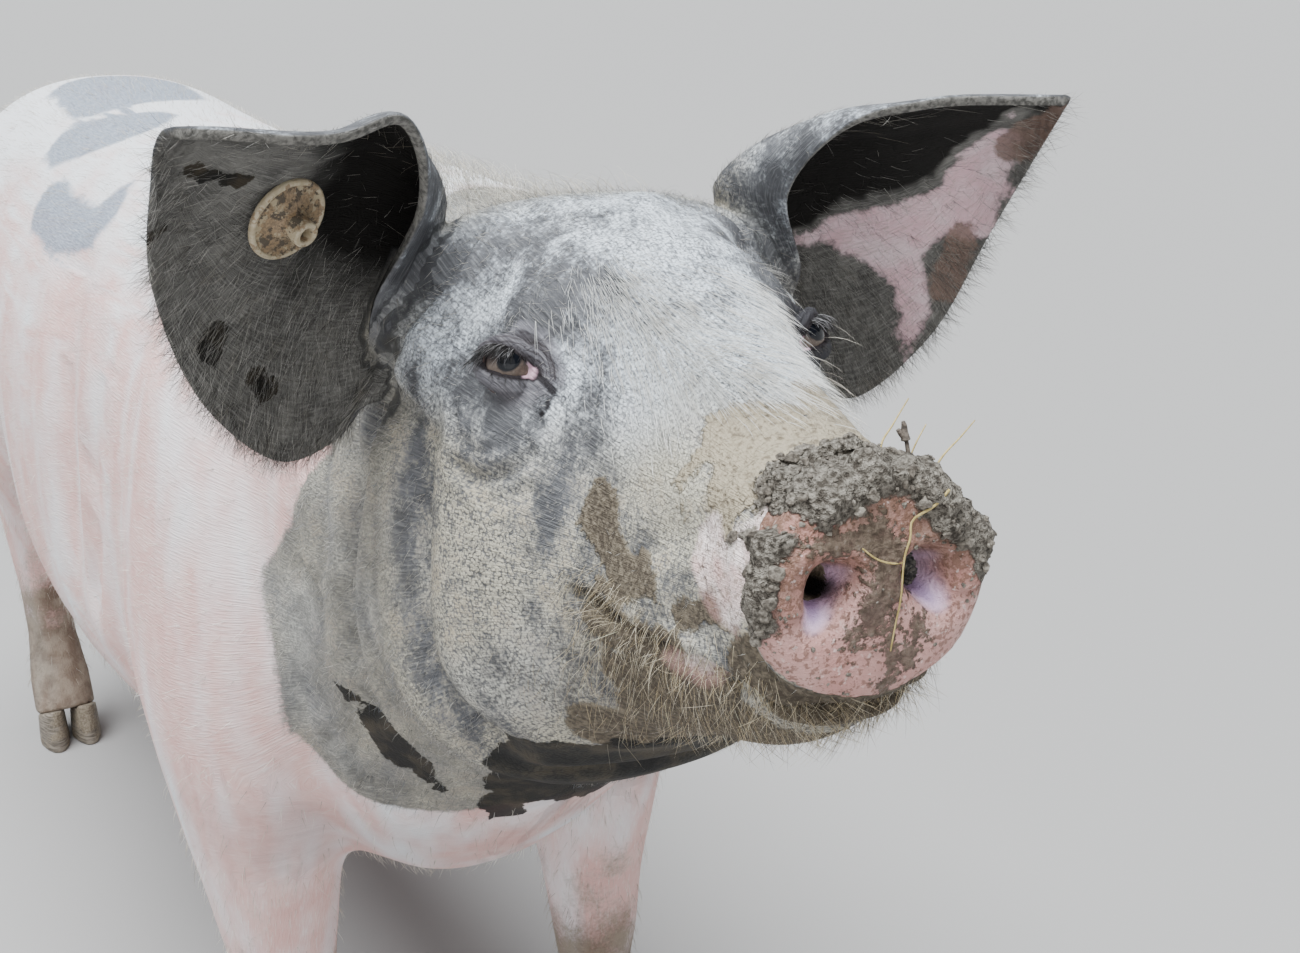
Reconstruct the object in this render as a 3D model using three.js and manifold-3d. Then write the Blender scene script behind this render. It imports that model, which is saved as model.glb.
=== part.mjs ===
// A standing saddleback pig at life size, built as named solids that meet with thin gaps.
// Millimetres, +Z up. The pig faces -Y, its left side is +X, and it stands on z = 0.
import * as THREE from "three";
import { mergeVertices } from "three/addons/utils/BufferGeometryUtils.js";
import Module from "manifold-3d";

const wasm = await Module();
wasm.setup();

// ---------------------------------------------------------------- driving dimensions
const GAP = 0.4; // thin cut between neighbouring solids
const RING_SIDES = 30; // corners in a cross-section of the head, neck and trunk
const LEG_SIDES = 14; // and of a leg
const { degToRad, lerp, clamp } = THREE.MathUtils;

const head = {
  eyesAt: new THREE.Vector3(-22, -305, 640), // midpoint between the eyes
  yaw: degToRad(11), // turned to its own right
  pitch: degToRad(10), // nose raised
};
const eye = { side: 52, forward: -3, up: 0, radius: 12.5 };
const disc = { width: 80, height: 74, depth: 14, forward: 158, up: -59, lean: degToRad(9) };
const nostril = { apart: 36, width: 15, height: 19, depth: 17, up: 1 };
const snoutStart = 96; // where the muzzle becomes the snout
const mouth = { corner: 54, cornerUp: -84, front: 150, frontUp: -99 }; // forward of and up from the eyes
const stance = { fore: 105, hind: 105 }; // from the midline to the middle of a foot
const stride = { foreleg_left: -28, foreleg_right: 2, hindleg_left: 26, hindleg_right: 0 };
const claw = { width: 30, length: 60, cleft: 3, coronetFront: 44, coronetBack: 27 };
const clawWall = { toeReach: 9, lean: 2, taper: 0.1 }; // how a claw's wall slopes in from its sole
const clawsAhead = 7; // how far the toes stand in front of the leg above them
const dewclaw = { width: 13, length: 19, height: 74, apart: 28 };
const tail = { rootAt: [0, 866, 648], thick: 24, tip: 7, coil: 21, turns: 1.15, drop: 74 };
const tag = { disc: 36, rim: 2.2, boss: 11, bossBase: 17, bossLength: 12, bore: 6, stem: 4.4, back: 28 };
const tagOnEar = { along: 0.67, around: 0.53 }; // shares of the way to the ear's tip and to its rear edge

// Head, neck and trunk are one skin of cross-sections. Each row of a table is one cross-section: where it
// stands along the body, its highest and lowest point, its half width, the height where it is widest,
// and how square its upper and lower halves are (2 is an ellipse).
const COLUMNS = ["along", "top", "bottom", "half", "wide", "squareTop", "squareBottom"];
const HEAD_SECTIONS = [
  // measured from the eyes: forward along the muzzle, and up from it
  [164, -27, -97, 34, -60, 2.2, 2.2],
  [142, -22, -110, 35, -62, 2.3, 2.2],
  [118, -12, -121, 38, -66, 2.4, 2.3],
  [90, 2, -129, 44, -72, 2.4, 2.3],
  [60, 17, -136, 52, -78, 2.3, 2.3],
  [30, 34, -145, 63, -80, 2.2, 2.3],
  [5, 48, -156, 73, -82, 2.2, 2.3],
  [-25, 60, -172, 85, -92, 2.2, 2.3],
  [-55, 68, -190, 95, -98, 2.4, 2.3],
  [-85, 72, -203, 102, -98, 2.5, 2.2],
  [-120, 66, -212, 108, -96, 2.4, 2.1],
];
const TRUNK_SECTIONS = [
  // measured from the shoulder: backwards, and up from the ground
  [-60, 690, 272, 114, 496, 2.1, 2.5],
  [-10, 692, 258, 136, 480, 2.1, 2.5],
  [70, 692, 252, 150, 460, 2.1, 2.6],
  [180, 686, 250, 161, 446, 2.2, 2.8],
  [330, 686, 250, 171, 440, 2.2, 3.0],
  [470, 696, 260, 171, 450, 2.2, 2.9],
  [610, 708, 300, 162, 484, 2.3, 2.5],
  [715, 714, 356, 154, 524, 2.4, 2.2],
  [800, 704, 404, 140, 542, 2.4, 2.1],
  [858, 672, 446, 112, 546, 2.2, 2.0],
  [892, 624, 490, 70, 550, 2.0, 2.0],
];

// Soft swellings and hollows, alike on both sides: side, along, up, reach and height. Those of the face are
// in the head's frame, and those of the body in the pig's.
const FACE_FORMS = [
  { name: "brow", at: [50, 4, 27], reach: 24, height: 7 },
  { name: "eye socket", at: [66, 2, 0], reach: 17, height: -4 },
  { name: "cheekbone", at: [84, -34, -34], reach: 36, height: 6 },
  { name: "temple", at: [64, -44, 26], reach: 22, height: -6 },
  { name: "ear root", at: [80, -82, 22], reach: 38, height: 17 },
  { name: "before the ear", at: [66, -58, 52], reach: 24, height: 10 },
  { name: "muzzle side", at: [46, 66, -34], reach: 30, height: -5 },
  { name: "lip", at: [36, 100, -78], reach: 24, height: 4 },
  { name: "jowl", at: [92, -62, -132], reach: 46, height: 8 },
  { name: "chin", at: [0, 110, -122], reach: 26, height: 3 },
];
const BODY_FORMS = [
  { name: "shoulder", at: [140, 40, 520], reach: 110, height: 7 },
  { name: "elbow", at: [150, 110, 400], reach: 60, height: 8 },
  { name: "behind the shoulder", at: [166, 205, 470], reach: 60, height: -8 },
  { name: "flank", at: [160, 580, 430], reach: 80, height: -9 },
  { name: "ham", at: [140, 760, 560], reach: 100, height: 6 },
];

// A leg is a skin of level cross-sections: height, middle from the midline, half width, front and back.
const LEG_COLUMNS = ["height", "middle", "half", "front", "back"];
const FORELEG_SECTIONS = [
  [620, 88, 24, 10, 84],
  [575, 96, 48, -32, 118],
  [510, 100, 60, -64, 146],
  [440, 104, 64, -76, 158],
  [395, 107, 62, -74, 158],
  [345, 108, 56, -62, 130],
  [295, 107, 49, -46, 98],
  [245, 106, 40, -30, 70],
  [205, 105, 34, -20, 50],
  [168, 105, 31, -18, 42],
  [132, 105, 25, -8, 34],
  [98, 105, 23.5, -6, 32],
  [70, 105, 28, -12, 35],
  [46, 105, 31, -27, 29],
  [20, 105, 31, -38, 24],
];
const HINDLEG_SECTIONS = [
  [640, 84, 28, 700, 790],
  [600, 94, 54, 662, 856],
  [540, 100, 70, 636, 900],
  [475, 104, 72, 624, 914],
  [415, 106, 66, 622, 908],
  [358, 108, 53, 652, 892],
  [300, 108, 41, 704, 882],
  [246, 107, 32, 762, 886],
  [205, 106, 28, 785, 878],
  [160, 105, 24.5, 798, 858],
  [118, 105, 24, 800, 847],
  [80, 105, 29, 788, 842],
  [50, 105, 31, 771, 829],
  [20, 105, 31, 760, 822],
];

// An ear is a cupped sheet. Its front edge, its crown and its rear edge run from the root to the tip, and
// each cross-section is a bend that leaves the front edge towards the crown and comes from there to the
// rear edge. Points are side, forward and up from the eyes.
const ear = {
  front: [
    [100, -98, 4], [101, -72, 27], [82, -42, 64], [93, 4, 91],
    [120, 17, 95], [151, 26, 95], [180, 29, 95],
  ],
  crown: [
    [62, -92, 30], [56, -70, 48], [38, -110, 108], [92, -100, 120],
    [128, -62, 104], [161, -20, 101], [184, 24, 94],
  ],
  rear: [
    [64, -98, -18], [105, -84, -14], [118, -95, -29], [140, -97, -36],
    [171, -76, -8], [188, -44, 42], [184, 18, 90],
  ],
  thickAtRoot: 7,
  thickAtTip: 3,
  thickAtEdge: 2.2,
  along: 14, // cross-sections from root to tip
  around: 9, // points across each of them
  droop: { left: 2, right: -4 }, // how the middle of each front edge bends
};

// ---------------------------------------------------------------- helpers
// Reads a table of rows as a smooth function of its first column.
function smoothTable(rows, columns) {
  const rising = rows[0][0] < rows[rows.length - 1][0] ? rows : [...rows].reverse();
  const at = rising.map((row) => row[0]);
  const slope = (i, k) => {
    const a = Math.max(i - 1, 0);
    const b = Math.min(i + 1, rising.length - 1);
    return (rising[b][k] - rising[a][k]) / (at[b] - at[a]);
  };
  return (x) => {
    let i = 0;
    while (i < at.length - 2 && x > at[i + 1]) i++;
    const step = at[i + 1] - at[i];
    const t = clamp((x - at[i]) / step, 0, 1);
    const section = {};
    columns.forEach((name, k) => {
      const [p, q] = [rising[i][k], rising[i + 1][k]];
      const [m, n] = [slope(i, k) * step, slope(i + 1, k) * step];
      const [t2, t3] = [t * t, t * t * t];
      const leaving = (2 * t3 - 3 * t2 + 1) * p + (t3 - 2 * t2 + t) * m;
      section[name] = leaving + (3 * t2 - 2 * t3) * q + (t3 - t2) * n;
    });
    return section;
  };
}

function evenly(from, to, count) {
  return Array.from({ length: count }, (_, i) => from + ((to - from) * i) / (count - 1));
}

const bentPower = (value, square) => Math.sign(value) * Math.abs(value) ** (2 / square);

// How far the soft forms of a list push the skin out at a place.
function swelling(forms, side, along, up) {
  return forms.reduce((sum, { at, reach, height }) => {
    const away = new THREE.Vector3(Math.abs(side) - at[0], along - at[1], up - at[2]).length() / reach;
    return sum + height * Math.exp(-away * away);
  }, 0);
}

// The corners of one cross-section, as offsets across (x) and up (y), anticlockwise.
function outline(section, forms, grow) {
  return Array.from({ length: RING_SIDES }, (_, i) => {
    const angle = (2 * Math.PI * i) / RING_SIDES;
    const upper = Math.sin(angle) >= 0;
    const square = upper ? section.squareTop : section.squareBottom;
    const rise = upper ? section.top - section.wide : section.wide - section.bottom;
    const p = new THREE.Vector2(
      section.half * bentPower(Math.cos(angle), square),
      section.wide + rise * bentPower(Math.sin(angle), square),
    );
    const out = new THREE.Vector2(p.x, p.y - section.wide).normalize();
    return p.addScaledVector(out, swelling(forms, p.x, section.along, p.y) + grow);
  });
}

// Joins rings of as many corners each by a band of triangles.
function bands(rings) {
  const sides = rings[0].length;
  const faces = [];
  for (let r = 0; r < rings.length - 1; r++) {
    for (let s = 0; s < sides; s++) {
      const [a, b] = [r * sides + s, r * sides + ((s + 1) % sides)];
      faces.push(a, b, a + sides, b, b + sides, a + sides);
    }
  }
  return faces;
}

function meshFrom(points, faces) {
  const geometry = new THREE.BufferGeometry();
  const numbers = points.flatMap((p) => p.toArray());
  geometry.setAttribute("position", new THREE.Float32BufferAttribute(numbers, 3));
  geometry.setIndex(faces);
  return facingOut(geometry);
}

// A closed skin over a list of rings, its two ends closed by fans.
function skinOver(rings) {
  const sides = rings[0].length;
  const points = rings.flat();
  const faces = bands(rings);
  const ends = [{ first: 0, flip: true }, { first: points.length - sides, flip: false }];
  for (const { first, flip } of ends) {
    const middle = points.length;
    points.push(centre(points.slice(first, first + sides)));
    for (let s = 0; s < sides; s++) {
      const [a, b] = [first + s, first + ((s + 1) % sides)];
      faces.push(...(flip ? [middle, b, a] : [middle, a, b]));
    }
  }
  return meshFrom(points, faces);
}

// A closed skin over crescent rings, which run out along one face of a sheet and back along the other,
// with their two ends closed straight across the sheet's thickness.
function sheetSkin(rings) {
  const sides = rings[0].length;
  const faces = bands(rings);
  for (const [first, flip] of [[0, true], [(rings.length - 1) * sides, false]]) {
    for (let s = 0; s < sides / 2 - 1; s++) {
      const [a, b, c, d] = [first + s, first + s + 1, first + sides - 2 - s, first + sides - 1 - s];
      faces.push(...(flip ? [a, c, b, a, d, c] : [a, b, c, a, c, d]));
    }
  }
  return meshFrom(rings.flat(), faces);
}

const centre = (ring) => ring.reduce((sum, p) => sum.add(p), new THREE.Vector3()).divideScalar(ring.length);

// Turns every face round if the closed skin holds a negative volume.
function facingOut(geometry) {
  const index = geometry.index.array;
  const p = geometry.attributes.position;
  const [a, b, c] = [new THREE.Vector3(), new THREE.Vector3(), new THREE.Vector3()];
  let volume = 0;
  for (let i = 0; i < index.length; i += 3) {
    a.fromBufferAttribute(p, index[i]);
    b.fromBufferAttribute(p, index[i + 1]);
    c.fromBufferAttribute(p, index[i + 2]);
    volume += a.dot(b.cross(c));
  }
  if (volume < 0) {
    for (let i = 0; i < index.length; i += 3) [index[i + 1], index[i + 2]] = [index[i + 2], index[i + 1]];
  }
  return geometry;
}

function toSolid(geometry) {
  const bare = geometry.clone();
  bare.deleteAttribute("normal");
  bare.deleteAttribute("uv");
  const merged = facingOut(mergeVertices(bare, 1e-3));
  const vertProperties = new Float32Array(merged.attributes.position.array);
  const triVerts = new Uint32Array(merged.index.array);
  return new wasm.Manifold(new wasm.Mesh({ numProp: 3, vertProperties, triVerts }));
}

function fromSolid(solid) {
  const mesh = solid.getMesh();
  const geometry = new THREE.BufferGeometry();
  const numbers = Array.from(mesh.vertProperties);
  geometry.setAttribute("position", new THREE.Float32BufferAttribute(numbers, 3));
  geometry.setIndex(Array.from(mesh.triVerts));
  return geometry;
}

// ---------------------------------------------------------------- the group
const pig = new THREE.Group();
const COLOURS = {
  dark: 0x55565a,
  pink: 0xd9aaa0,
  snout: 0xc98d84,
  eye: 0x2c1d17,
  horn: 0x8d8068,
  tag: 0xc9b58c,
};

function add(name, solidOrGeometry, colour, roughness = 0.75) {
  const geometry = solidOrGeometry.isBufferGeometry ? solidOrGeometry : fromSolid(solidOrGeometry);
  const material = new THREE.MeshStandardMaterial({ color: colour, roughness, metalness: 0 });
  const mesh = new THREE.Mesh(geometry, material);
  mesh.name = name;
  pig.add(mesh);
}

const SIDES = [["left", 1], ["right", -1]];

// ---------------------------------------------------------------- head, neck and trunk
// The head's own frame: x to its left, y backwards from the nose, z up, with the eyes at the origin.
const headFrame = new THREE.Matrix4().compose(
  head.eyesAt,
  new THREE.Quaternion().setFromEuler(new THREE.Euler(-head.pitch, 0, -head.yaw, "ZYX")),
  new THREE.Vector3(1, 1, 1),
);
const inHead = (side, forward, up) => new THREE.Vector3(side, -forward, up).applyMatrix4(headFrame);
const headDirection = (side, forward, up) => inHead(side, forward, up).sub(head.eyesAt);

const headSection = smoothTable(HEAD_SECTIONS, COLUMNS);
const trunkSection = smoothTable(TRUNK_SECTIONS, COLUMNS);

function headRing(forward, grow = 0) {
  return outline(headSection(forward), FACE_FORMS, grow).map((p) => inHead(p.x, forward, p.y));
}

function trunkRing(along, grow = 0) {
  return outline(trunkSection(along), BODY_FORMS, grow).map((p) => new THREE.Vector3(p.x, along, p.y));
}

const headBack = HEAD_SECTIONS[HEAD_SECTIONS.length - 1][0];
const trunkFront = TRUNK_SECTIONS[0][0];
const trunkBack = TRUNK_SECTIONS[TRUNK_SECTIONS.length - 1][0];
const neckBend = 42; // how far the neck leaves the head and the trunk straight

// The neck's rings turn and swell from the last ring of the head to the first ring of the trunk.
function neckSkin(grow) {
  const to = trunkRing(trunkFront, grow).map((p) => p.add(new THREE.Vector3(0, -GAP, 0)));
  const backwards = headDirection(0, -1, 0);
  const from = headRing(headBack, grow).map((p) => p.addScaledVector(backwards, GAP));
  const rings = evenly(0, 1, 7).map((t) =>
    from.map((p, i) => {
      const leaving = p.clone().addScaledVector(backwards, neckBend);
      const arriving = to[i].clone().add(new THREE.Vector3(0, -neckBend, 0));
      return new THREE.CubicBezierCurve3(p, leaving, arriving, to[i]).getPoint(t);
    }),
  );
  return toSolid(skinOver(rings));
}

function trunkSkin(grow) {
  const stations = [...evenly(trunkFront, 800, 13), 836, 862, 880, trunkBack];
  const rings = stations.map((y) => trunkRing(y, grow));
  const rear = rings[rings.length - 1];
  const middle = centre(rear);
  rings.push(rear.map((p) => p.clone().lerp(middle, 0.45).add(new THREE.Vector3(0, 9, 0))));
  return toSolid(skinOver(rings));
}

function headSkin(grow) {
  const stations = [...evenly(HEAD_SECTIONS[0][0], -28, 15), ...evenly(-44, headBack, 6)];
  return toSolid(skinOver(stations.map((forward) => headRing(forward, grow))));
}

// A block in the head's frame, from one corner to the other, tipped nose up by an angle about its middle.
function headBlock(low, high, tip = 0, about = [0, 0, 0]) {
  const block = new THREE.BoxGeometry(high[0] - low[0], high[1] - low[1], high[2] - low[2]);
  const [side, forward, up] = about.map((turn, i) => (low[i] + high[i]) / 2 - turn);
  block.translate(side, -forward, up);
  block.rotateX(-tip);
  block.translate(about[0], -about[1], about[2]);
  return toSolid(block.applyMatrix4(headFrame));
}

const eyeBalls = (grow) => SIDES.map(([, side]) => {
  const ball = new THREE.SphereGeometry(eye.radius + grow, 14, 9);
  ball.rotateZ(Math.PI / 2);
  const at = inHead(side * eye.side, eye.forward, eye.up);
  return ball.translate(at.x, at.y, at.z);
});

// The flat end disc of the snout leans back at its foot. Its rim is rounded and its face a little domed.
const discFrame = new THREE.Matrix4()
  .multiplyMatrices(headFrame, new THREE.Matrix4().makeTranslation(0, -disc.forward, disc.up))
  .multiply(new THREE.Matrix4().makeRotationX(Math.PI / 2 + disc.lean));
function snoutDisc() {
  const r = disc.width / 2;
  const rows = [[0, 0], [r - 4, 0], [r, 5], [r - 1, 9], [r - 5, 12], [r - 14, 13.2], [0, disc.depth]];
  const profile = rows.map(([across, out]) => new THREE.Vector2(across, out));
  const shape = new THREE.LatheGeometry(profile, 26);
  shape.rotateX(Math.PI / 2); // its axis along +z, which the frame turns to face forwards
  shape.scale(1, disc.height / disc.width, 1);
  return toSolid(shape.applyMatrix4(discFrame));
}
function nostrilHole(side) {
  const hole = new THREE.SphereGeometry(1, 12, 6);
  hole.scale(nostril.width / 2, nostril.height / 2, nostril.depth);
  hole.rotateY(side * degToRad(14));
  hole.translate(side * (nostril.apart / 2), nostril.up, disc.depth);
  return toSolid(hole.applyMatrix4(discFrame));
}

const FAR = 300; // past every side of the head
const mouthTip = Math.atan2(mouth.frontUp - mouth.cornerUp, mouth.front - mouth.corner);
const belowMouth = (grow) => headBlock(
  [-FAR, mouth.corner - grow, mouth.cornerUp - FAR],
  [FAR, mouth.corner + FAR, mouth.cornerUp + grow],
  mouthTip,
  [0, mouth.corner, mouth.cornerUp],
);
const beyondDisc = (grow) => headBlock(
  [-FAR, disc.forward - grow, disc.up - FAR],
  [FAR, disc.forward + FAR, disc.up + FAR],
  -disc.lean,
  [0, disc.forward, disc.up],
);
const nostrils = SIDES.map(([, side]) => nostrilHole(side));
const eyes = eyeBalls(0);
const sockets = eyeBalls(GAP).map(toSolid);
const wholeHead = headSkin(0).subtract(beyondDisc(GAP));
const lowerJaw = wholeHead.intersect(belowMouth(0));
const upperHead = wholeHead.subtract(belowMouth(GAP));
const snoutBlock = (grow) => headBlock([-FAR, snoutStart - grow, -FAR], [FAR, FAR, FAR]);
const snout = upperHead.intersect(snoutBlock(0)).subtract(nostrils[0]).subtract(nostrils[1]);
const skull = upperHead.subtract(snoutBlock(GAP)).subtract(sockets[0]).subtract(sockets[1]);
const grownHead = headSkin(GAP);
const grownNeck = neckSkin(GAP);

add("head", skull, COLOURS.dark);
add("snout", snout, COLOURS.dark);
add("snout_disc", snoutDisc().subtract(nostrils[0]).subtract(nostrils[1]), COLOURS.snout, 0.5);
add("lower_jaw", lowerJaw, COLOURS.dark);
SIDES.forEach(([name], i) => add(`eye_${name}`, eyes[i], COLOURS.eye, 0.1));
add("neck", neckSkin(0), COLOURS.dark);
const grownTrunk = trunkSkin(GAP);
add("trunk", trunkSkin(0), COLOURS.pink);

// ---------------------------------------------------------------- ears and the tag in the right one
// A point on the ear's middle sheet, in the head's frame. The distance t runs from the root to the tip, and s
// from the front edge to the rear edge.
function earPoint(t, s, droop) {
  const rails = [ear.front, ear.crown, ear.rear].map((rail) => rail.map((p) => new THREE.Vector3(...p)));
  const [front, crown, rear] = rails.map((rail) => new THREE.CatmullRomCurve3(rail).getPoint(t));
  front.z += droop * Math.exp(-(((t - 0.72) / 0.16) ** 2));
  return new THREE.QuadraticBezierCurve3(front, crown, rear).getPoint(s);
}

// The same point with the way the ear's back faces there, and the sheet's thickness.
function earSheet(t, s, droop) {
  const [before, after] = [(u) => Math.max(u - 0.02, 0), (u) => Math.min(u + 0.02, 1)];
  const along = earPoint(after(t), s, droop).sub(earPoint(before(t), s, droop));
  const around = earPoint(t, after(s), droop).sub(earPoint(t, before(s), droop));
  const facing = around.cross(along).normalize();
  const middle = lerp(ear.thickAtRoot, ear.thickAtTip, t ** 0.6);
  const thick = lerp(middle, ear.thickAtEdge, Math.abs(2 * s - 1) ** 3);
  return { point: earPoint(t, s, droop), facing, thick };
}

function earSolid(side, droop) {
  const place = ({ point, facing, thick }, half) => {
    const p = point.clone().addScaledVector(facing, half * thick);
    return inHead(side * p.x, p.y, p.z);
  };
  const rings = evenly(0, 1, ear.along).map((t) => {
    const sheet = evenly(0, 1, ear.around).map((s) => earSheet(t, s, droop));
    return [...sheet.map((q) => place(q, 0.5)), ...sheet.reverse().map((q) => place(q, -0.5))];
  });
  return toSolid(sheetSkin(rings)).subtract(grownHead).subtract(grownNeck);
}

// A turned piece of the tag, on the axis that goes through the ear: heights run inwards, into the cup.
const tagSide = -1;
const tagSeat = earSheet(tagOnEar.along, tagOnEar.around, ear.droop.right);
const tagAt = inHead(tagSide * tagSeat.point.x, tagSeat.point.y, tagSeat.point.z);
const tagAxis = headDirection(-tagSide * tagSeat.facing.x, -tagSeat.facing.y, -tagSeat.facing.z);
function turned(profile, sides = 16) {
  const shape = new THREE.LatheGeometry(profile.map(([r, y]) => new THREE.Vector2(r, y)), sides);
  shape.applyQuaternion(new THREE.Quaternion().setFromUnitVectors(new THREE.Vector3(0, 1, 0), tagAxis));
  return toSolid(shape.translate(tagAt.x, tagAt.y, tagAt.z));
}
const seatFront = tagSeat.thick / 2 + 3.2; // clear of the hollow face at the disc's rim
const seatBack = -tagSeat.thick / 2 - 1.2; // and of the bulging back
const bossTop = seatFront + tag.rim + tag.bossLength;
const tagFront = turned([
  [tag.bore / 2, seatFront], [tag.disc / 2 - 0.8, seatFront], [tag.disc / 2, seatFront + tag.rim / 2],
  [tag.disc / 2 - 0.6, seatFront + tag.rim], [tag.bossBase / 2, seatFront + tag.rim + 1.6],
  [tag.boss / 2, seatFront + tag.rim + 5], [tag.boss / 2, bossTop], [tag.bore / 2, bossTop],
  [tag.bore / 2, seatFront],
]);
const tagBack = turned([
  [0, bossTop - 5], [tag.stem / 2, bossTop - 6], [tag.stem / 2, seatBack],
  [tag.back / 2 - 0.8, seatBack - 0.4], [tag.back / 2, seatBack - 1.4],
  [tag.back / 2 - 1.2, seatBack - 2.6], [0, seatBack - 3.4],
]);
const holeRadius = tag.stem / 2 + GAP;
const tagHole = turned([[0, 12], [holeRadius, 12], [holeRadius, -12], [0, -12]], 12);

const ears = Object.fromEntries(SIDES.map(([name, side]) => [name, earSolid(side, ear.droop[name])]));
add("ear_left", ears.left, COLOURS.dark);
add("ear_right", ears.right.subtract(tagHole), COLOURS.dark);
add("ear_tag_front", tagFront, COLOURS.tag, 0.5);
add("ear_tag_back", tagBack, COLOURS.tag, 0.5);

// ---------------------------------------------------------------- legs, claws and dewclaws
function legSkin(rows, side, stride, grow = 0) {
  const section = smoothTable(rows, LEG_COLUMNS);
  const heights = evenly(rows[0][0], rows[rows.length - 1][0], 14);
  const rings = heights.map((height) => {
    const s = section(height);
    const forward = stride * clamp((560 - height) / 300, 0, 1); // the top of the leg stays at its joint
    return Array.from({ length: LEG_SIDES }, (_, i) => {
      const angle = (2 * Math.PI * i) / LEG_SIDES;
      const [middle, reach] = [(s.front + s.back) / 2, (s.back - s.front) / 2];
      return new THREE.Vector3(
        side * (s.middle + (s.half + grow) * bentPower(Math.cos(angle), 2.1)),
        forward + middle + (reach + grow) * bentPower(Math.sin(angle), 2.1),
        height,
      );
    });
  });
  return toSolid(skinOver(rings));
}

// The coronet, where skin meets horn, falls from the toe to the heel.
const coronetAt = (back) => lerp(claw.coronetFront, claw.coronetBack, back);

// One half of the cloven hoof: its sole is flat on the ground and its wall slopes in from the toe.
function clawSkin(x, toe) {
  const rings = evenly(0, 1, 3).map((rise) => {
    const shrink = 1 - clawWall.taper * rise;
    const front = toe + clawWall.lean * rise;
    return Array.from({ length: 12 }, (_, i) => {
      const angle = (2 * Math.PI * i) / 12;
      const back = 0.5 + 0.5 * bentPower(Math.sin(angle), 2.3);
      const narrow = lerp(0.72, 1, clamp(back * 1.9, 0, 1));
      const across = (claw.width / 2) * narrow * shrink * bentPower(Math.cos(angle), 2.3);
      const along = clawWall.toeReach * rise * (1 - back) + claw.length * shrink * back;
      return new THREE.Vector3(x + across, front + along, rise * coronetAt(back));
    });
  });
  return skinOver(rings);
}

// A small horn that points down and back, starting inside the leg.
function dewclawSkin(x, back, side) {
  const { width, length, height } = dewclaw;
  const rings = [[0, 0.6], [0.45, 1], [1, 0.4]].map(([down, size]) => {
    const middle = new THREE.Vector3(x + side * 3 * down, back - 12 + length * down, height - length * down);
    return Array.from({ length: 6 }, (_, i) => {
      const angle = (2 * Math.PI * i) / 6;
      const across = (width / 2) * size * Math.cos(angle);
      const along = 0.35 * width * size * Math.sin(angle);
      return middle.clone().add(new THREE.Vector3(across, along, along));
    });
  });
  return skinOver(rings);
}

// Everything below the coronets of a foot, as a block that its leg is cut by.
function belowCoronets(side, from, toe) {
  const { toeReach, lean, taper } = clawWall;
  const topLength = claw.length * (1 - taper) - toeReach;
  const block = new THREE.BoxGeometry(FAR, FAR, FAR);
  block.translate(0, 0, GAP - FAR / 2);
  block.rotateX(-Math.atan2(claw.coronetFront - claw.coronetBack, topLength));
  block.translate(side * from, toe + lean + toeReach + topLength / 2, coronetAt(0.5));
  return toSolid(block);
}

const LIMBS = [["foreleg", FORELEG_SECTIONS, stance.fore], ["hindleg", HINDLEG_SECTIONS, stance.hind]];
const PLACES = [["outer", 1], ["inner", -1]];
for (const [name, side] of SIDES) {
  for (const [limb, rows, from] of LIMBS) {
    const forward = stride[`${limb}_${name}`];
    const foot = smoothTable(rows, LEG_COLUMNS)(0);
    const toe = foot.front + forward - clawsAhead;
    const whole = legSkin(rows, side, forward);
    const leg = whole.subtract(grownTrunk).subtract(grownNeck).subtract(belowCoronets(side, from, toe));
    add(`${limb}_${name}`, leg, COLOURS.pink);
    const grownLeg = legSkin(rows, side, forward, GAP);
    const pastern = smoothTable(rows, LEG_COLUMNS)(dewclaw.height);
    for (const [place, way] of PLACES) {
      const across = side * (from + (way * (claw.width + claw.cleft)) / 2);
      add(`claw_${limb}_${name}_${place}`, clawSkin(across, toe), COLOURS.horn, 0.6);
      const beside = side * (from + (way * dewclaw.apart) / 2);
      const dew = toSolid(dewclawSkin(beside, pastern.back + forward, side * way)).subtract(grownLeg);
      add(`dewclaw_${limb}_${name}_${place}`, dew, COLOURS.horn, 0.6);
    }
  }
}

// ---------------------------------------------------------------- tail
// The tail leaves the rump, droops and winds down in one loose coil.
function tailSkin() {
  const start = new THREE.Vector3(...tail.rootAt);
  const from = (x, y, z) => start.clone().add(new THREE.Vector3(x, y, z));
  const coil = evenly(0, 1, 10).map((k) => {
    const angle = Math.PI + 2 * Math.PI * tail.turns * k;
    const x = tail.coil * (1 + Math.cos(angle));
    const rise = (tail.coil / 2) * Math.sin(angle);
    return from(x, 64 + 14 * k - rise, rise - 38 - tail.drop * k);
  });
  const path = new THREE.CatmullRomCurve3([start, from(0, 34, -4), from(0, 54, -22), ...coil]);
  const steps = 21;
  const frames = path.computeFrenetFrames(steps);
  const rings = evenly(0, 1, steps + 1).map((t, i) => {
    const radius = lerp(tail.thick, tail.tip, t ** 0.8) / 2;
    const middle = path.getPointAt(t);
    return Array.from({ length: 6 }, (_, k) => {
      const angle = (2 * Math.PI * k) / 6;
      return middle.clone()
        .addScaledVector(frames.normals[i], radius * Math.cos(angle))
        .addScaledVector(frames.binormals[i], radius * Math.sin(angle));
    });
  });
  return toSolid(skinOver(rings));
}
add("tail", tailSkin().subtract(grownTrunk), COLOURS.pink);

// The model's origin is under the middle of its box, on the floor.
const box = new THREE.Box3().setFromObject(pig);
const middle = box.getCenter(new THREE.Vector3());
pig.position.set(-middle.x, -middle.y, 0);

export default pig;
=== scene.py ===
# %% [markdown]
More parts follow.
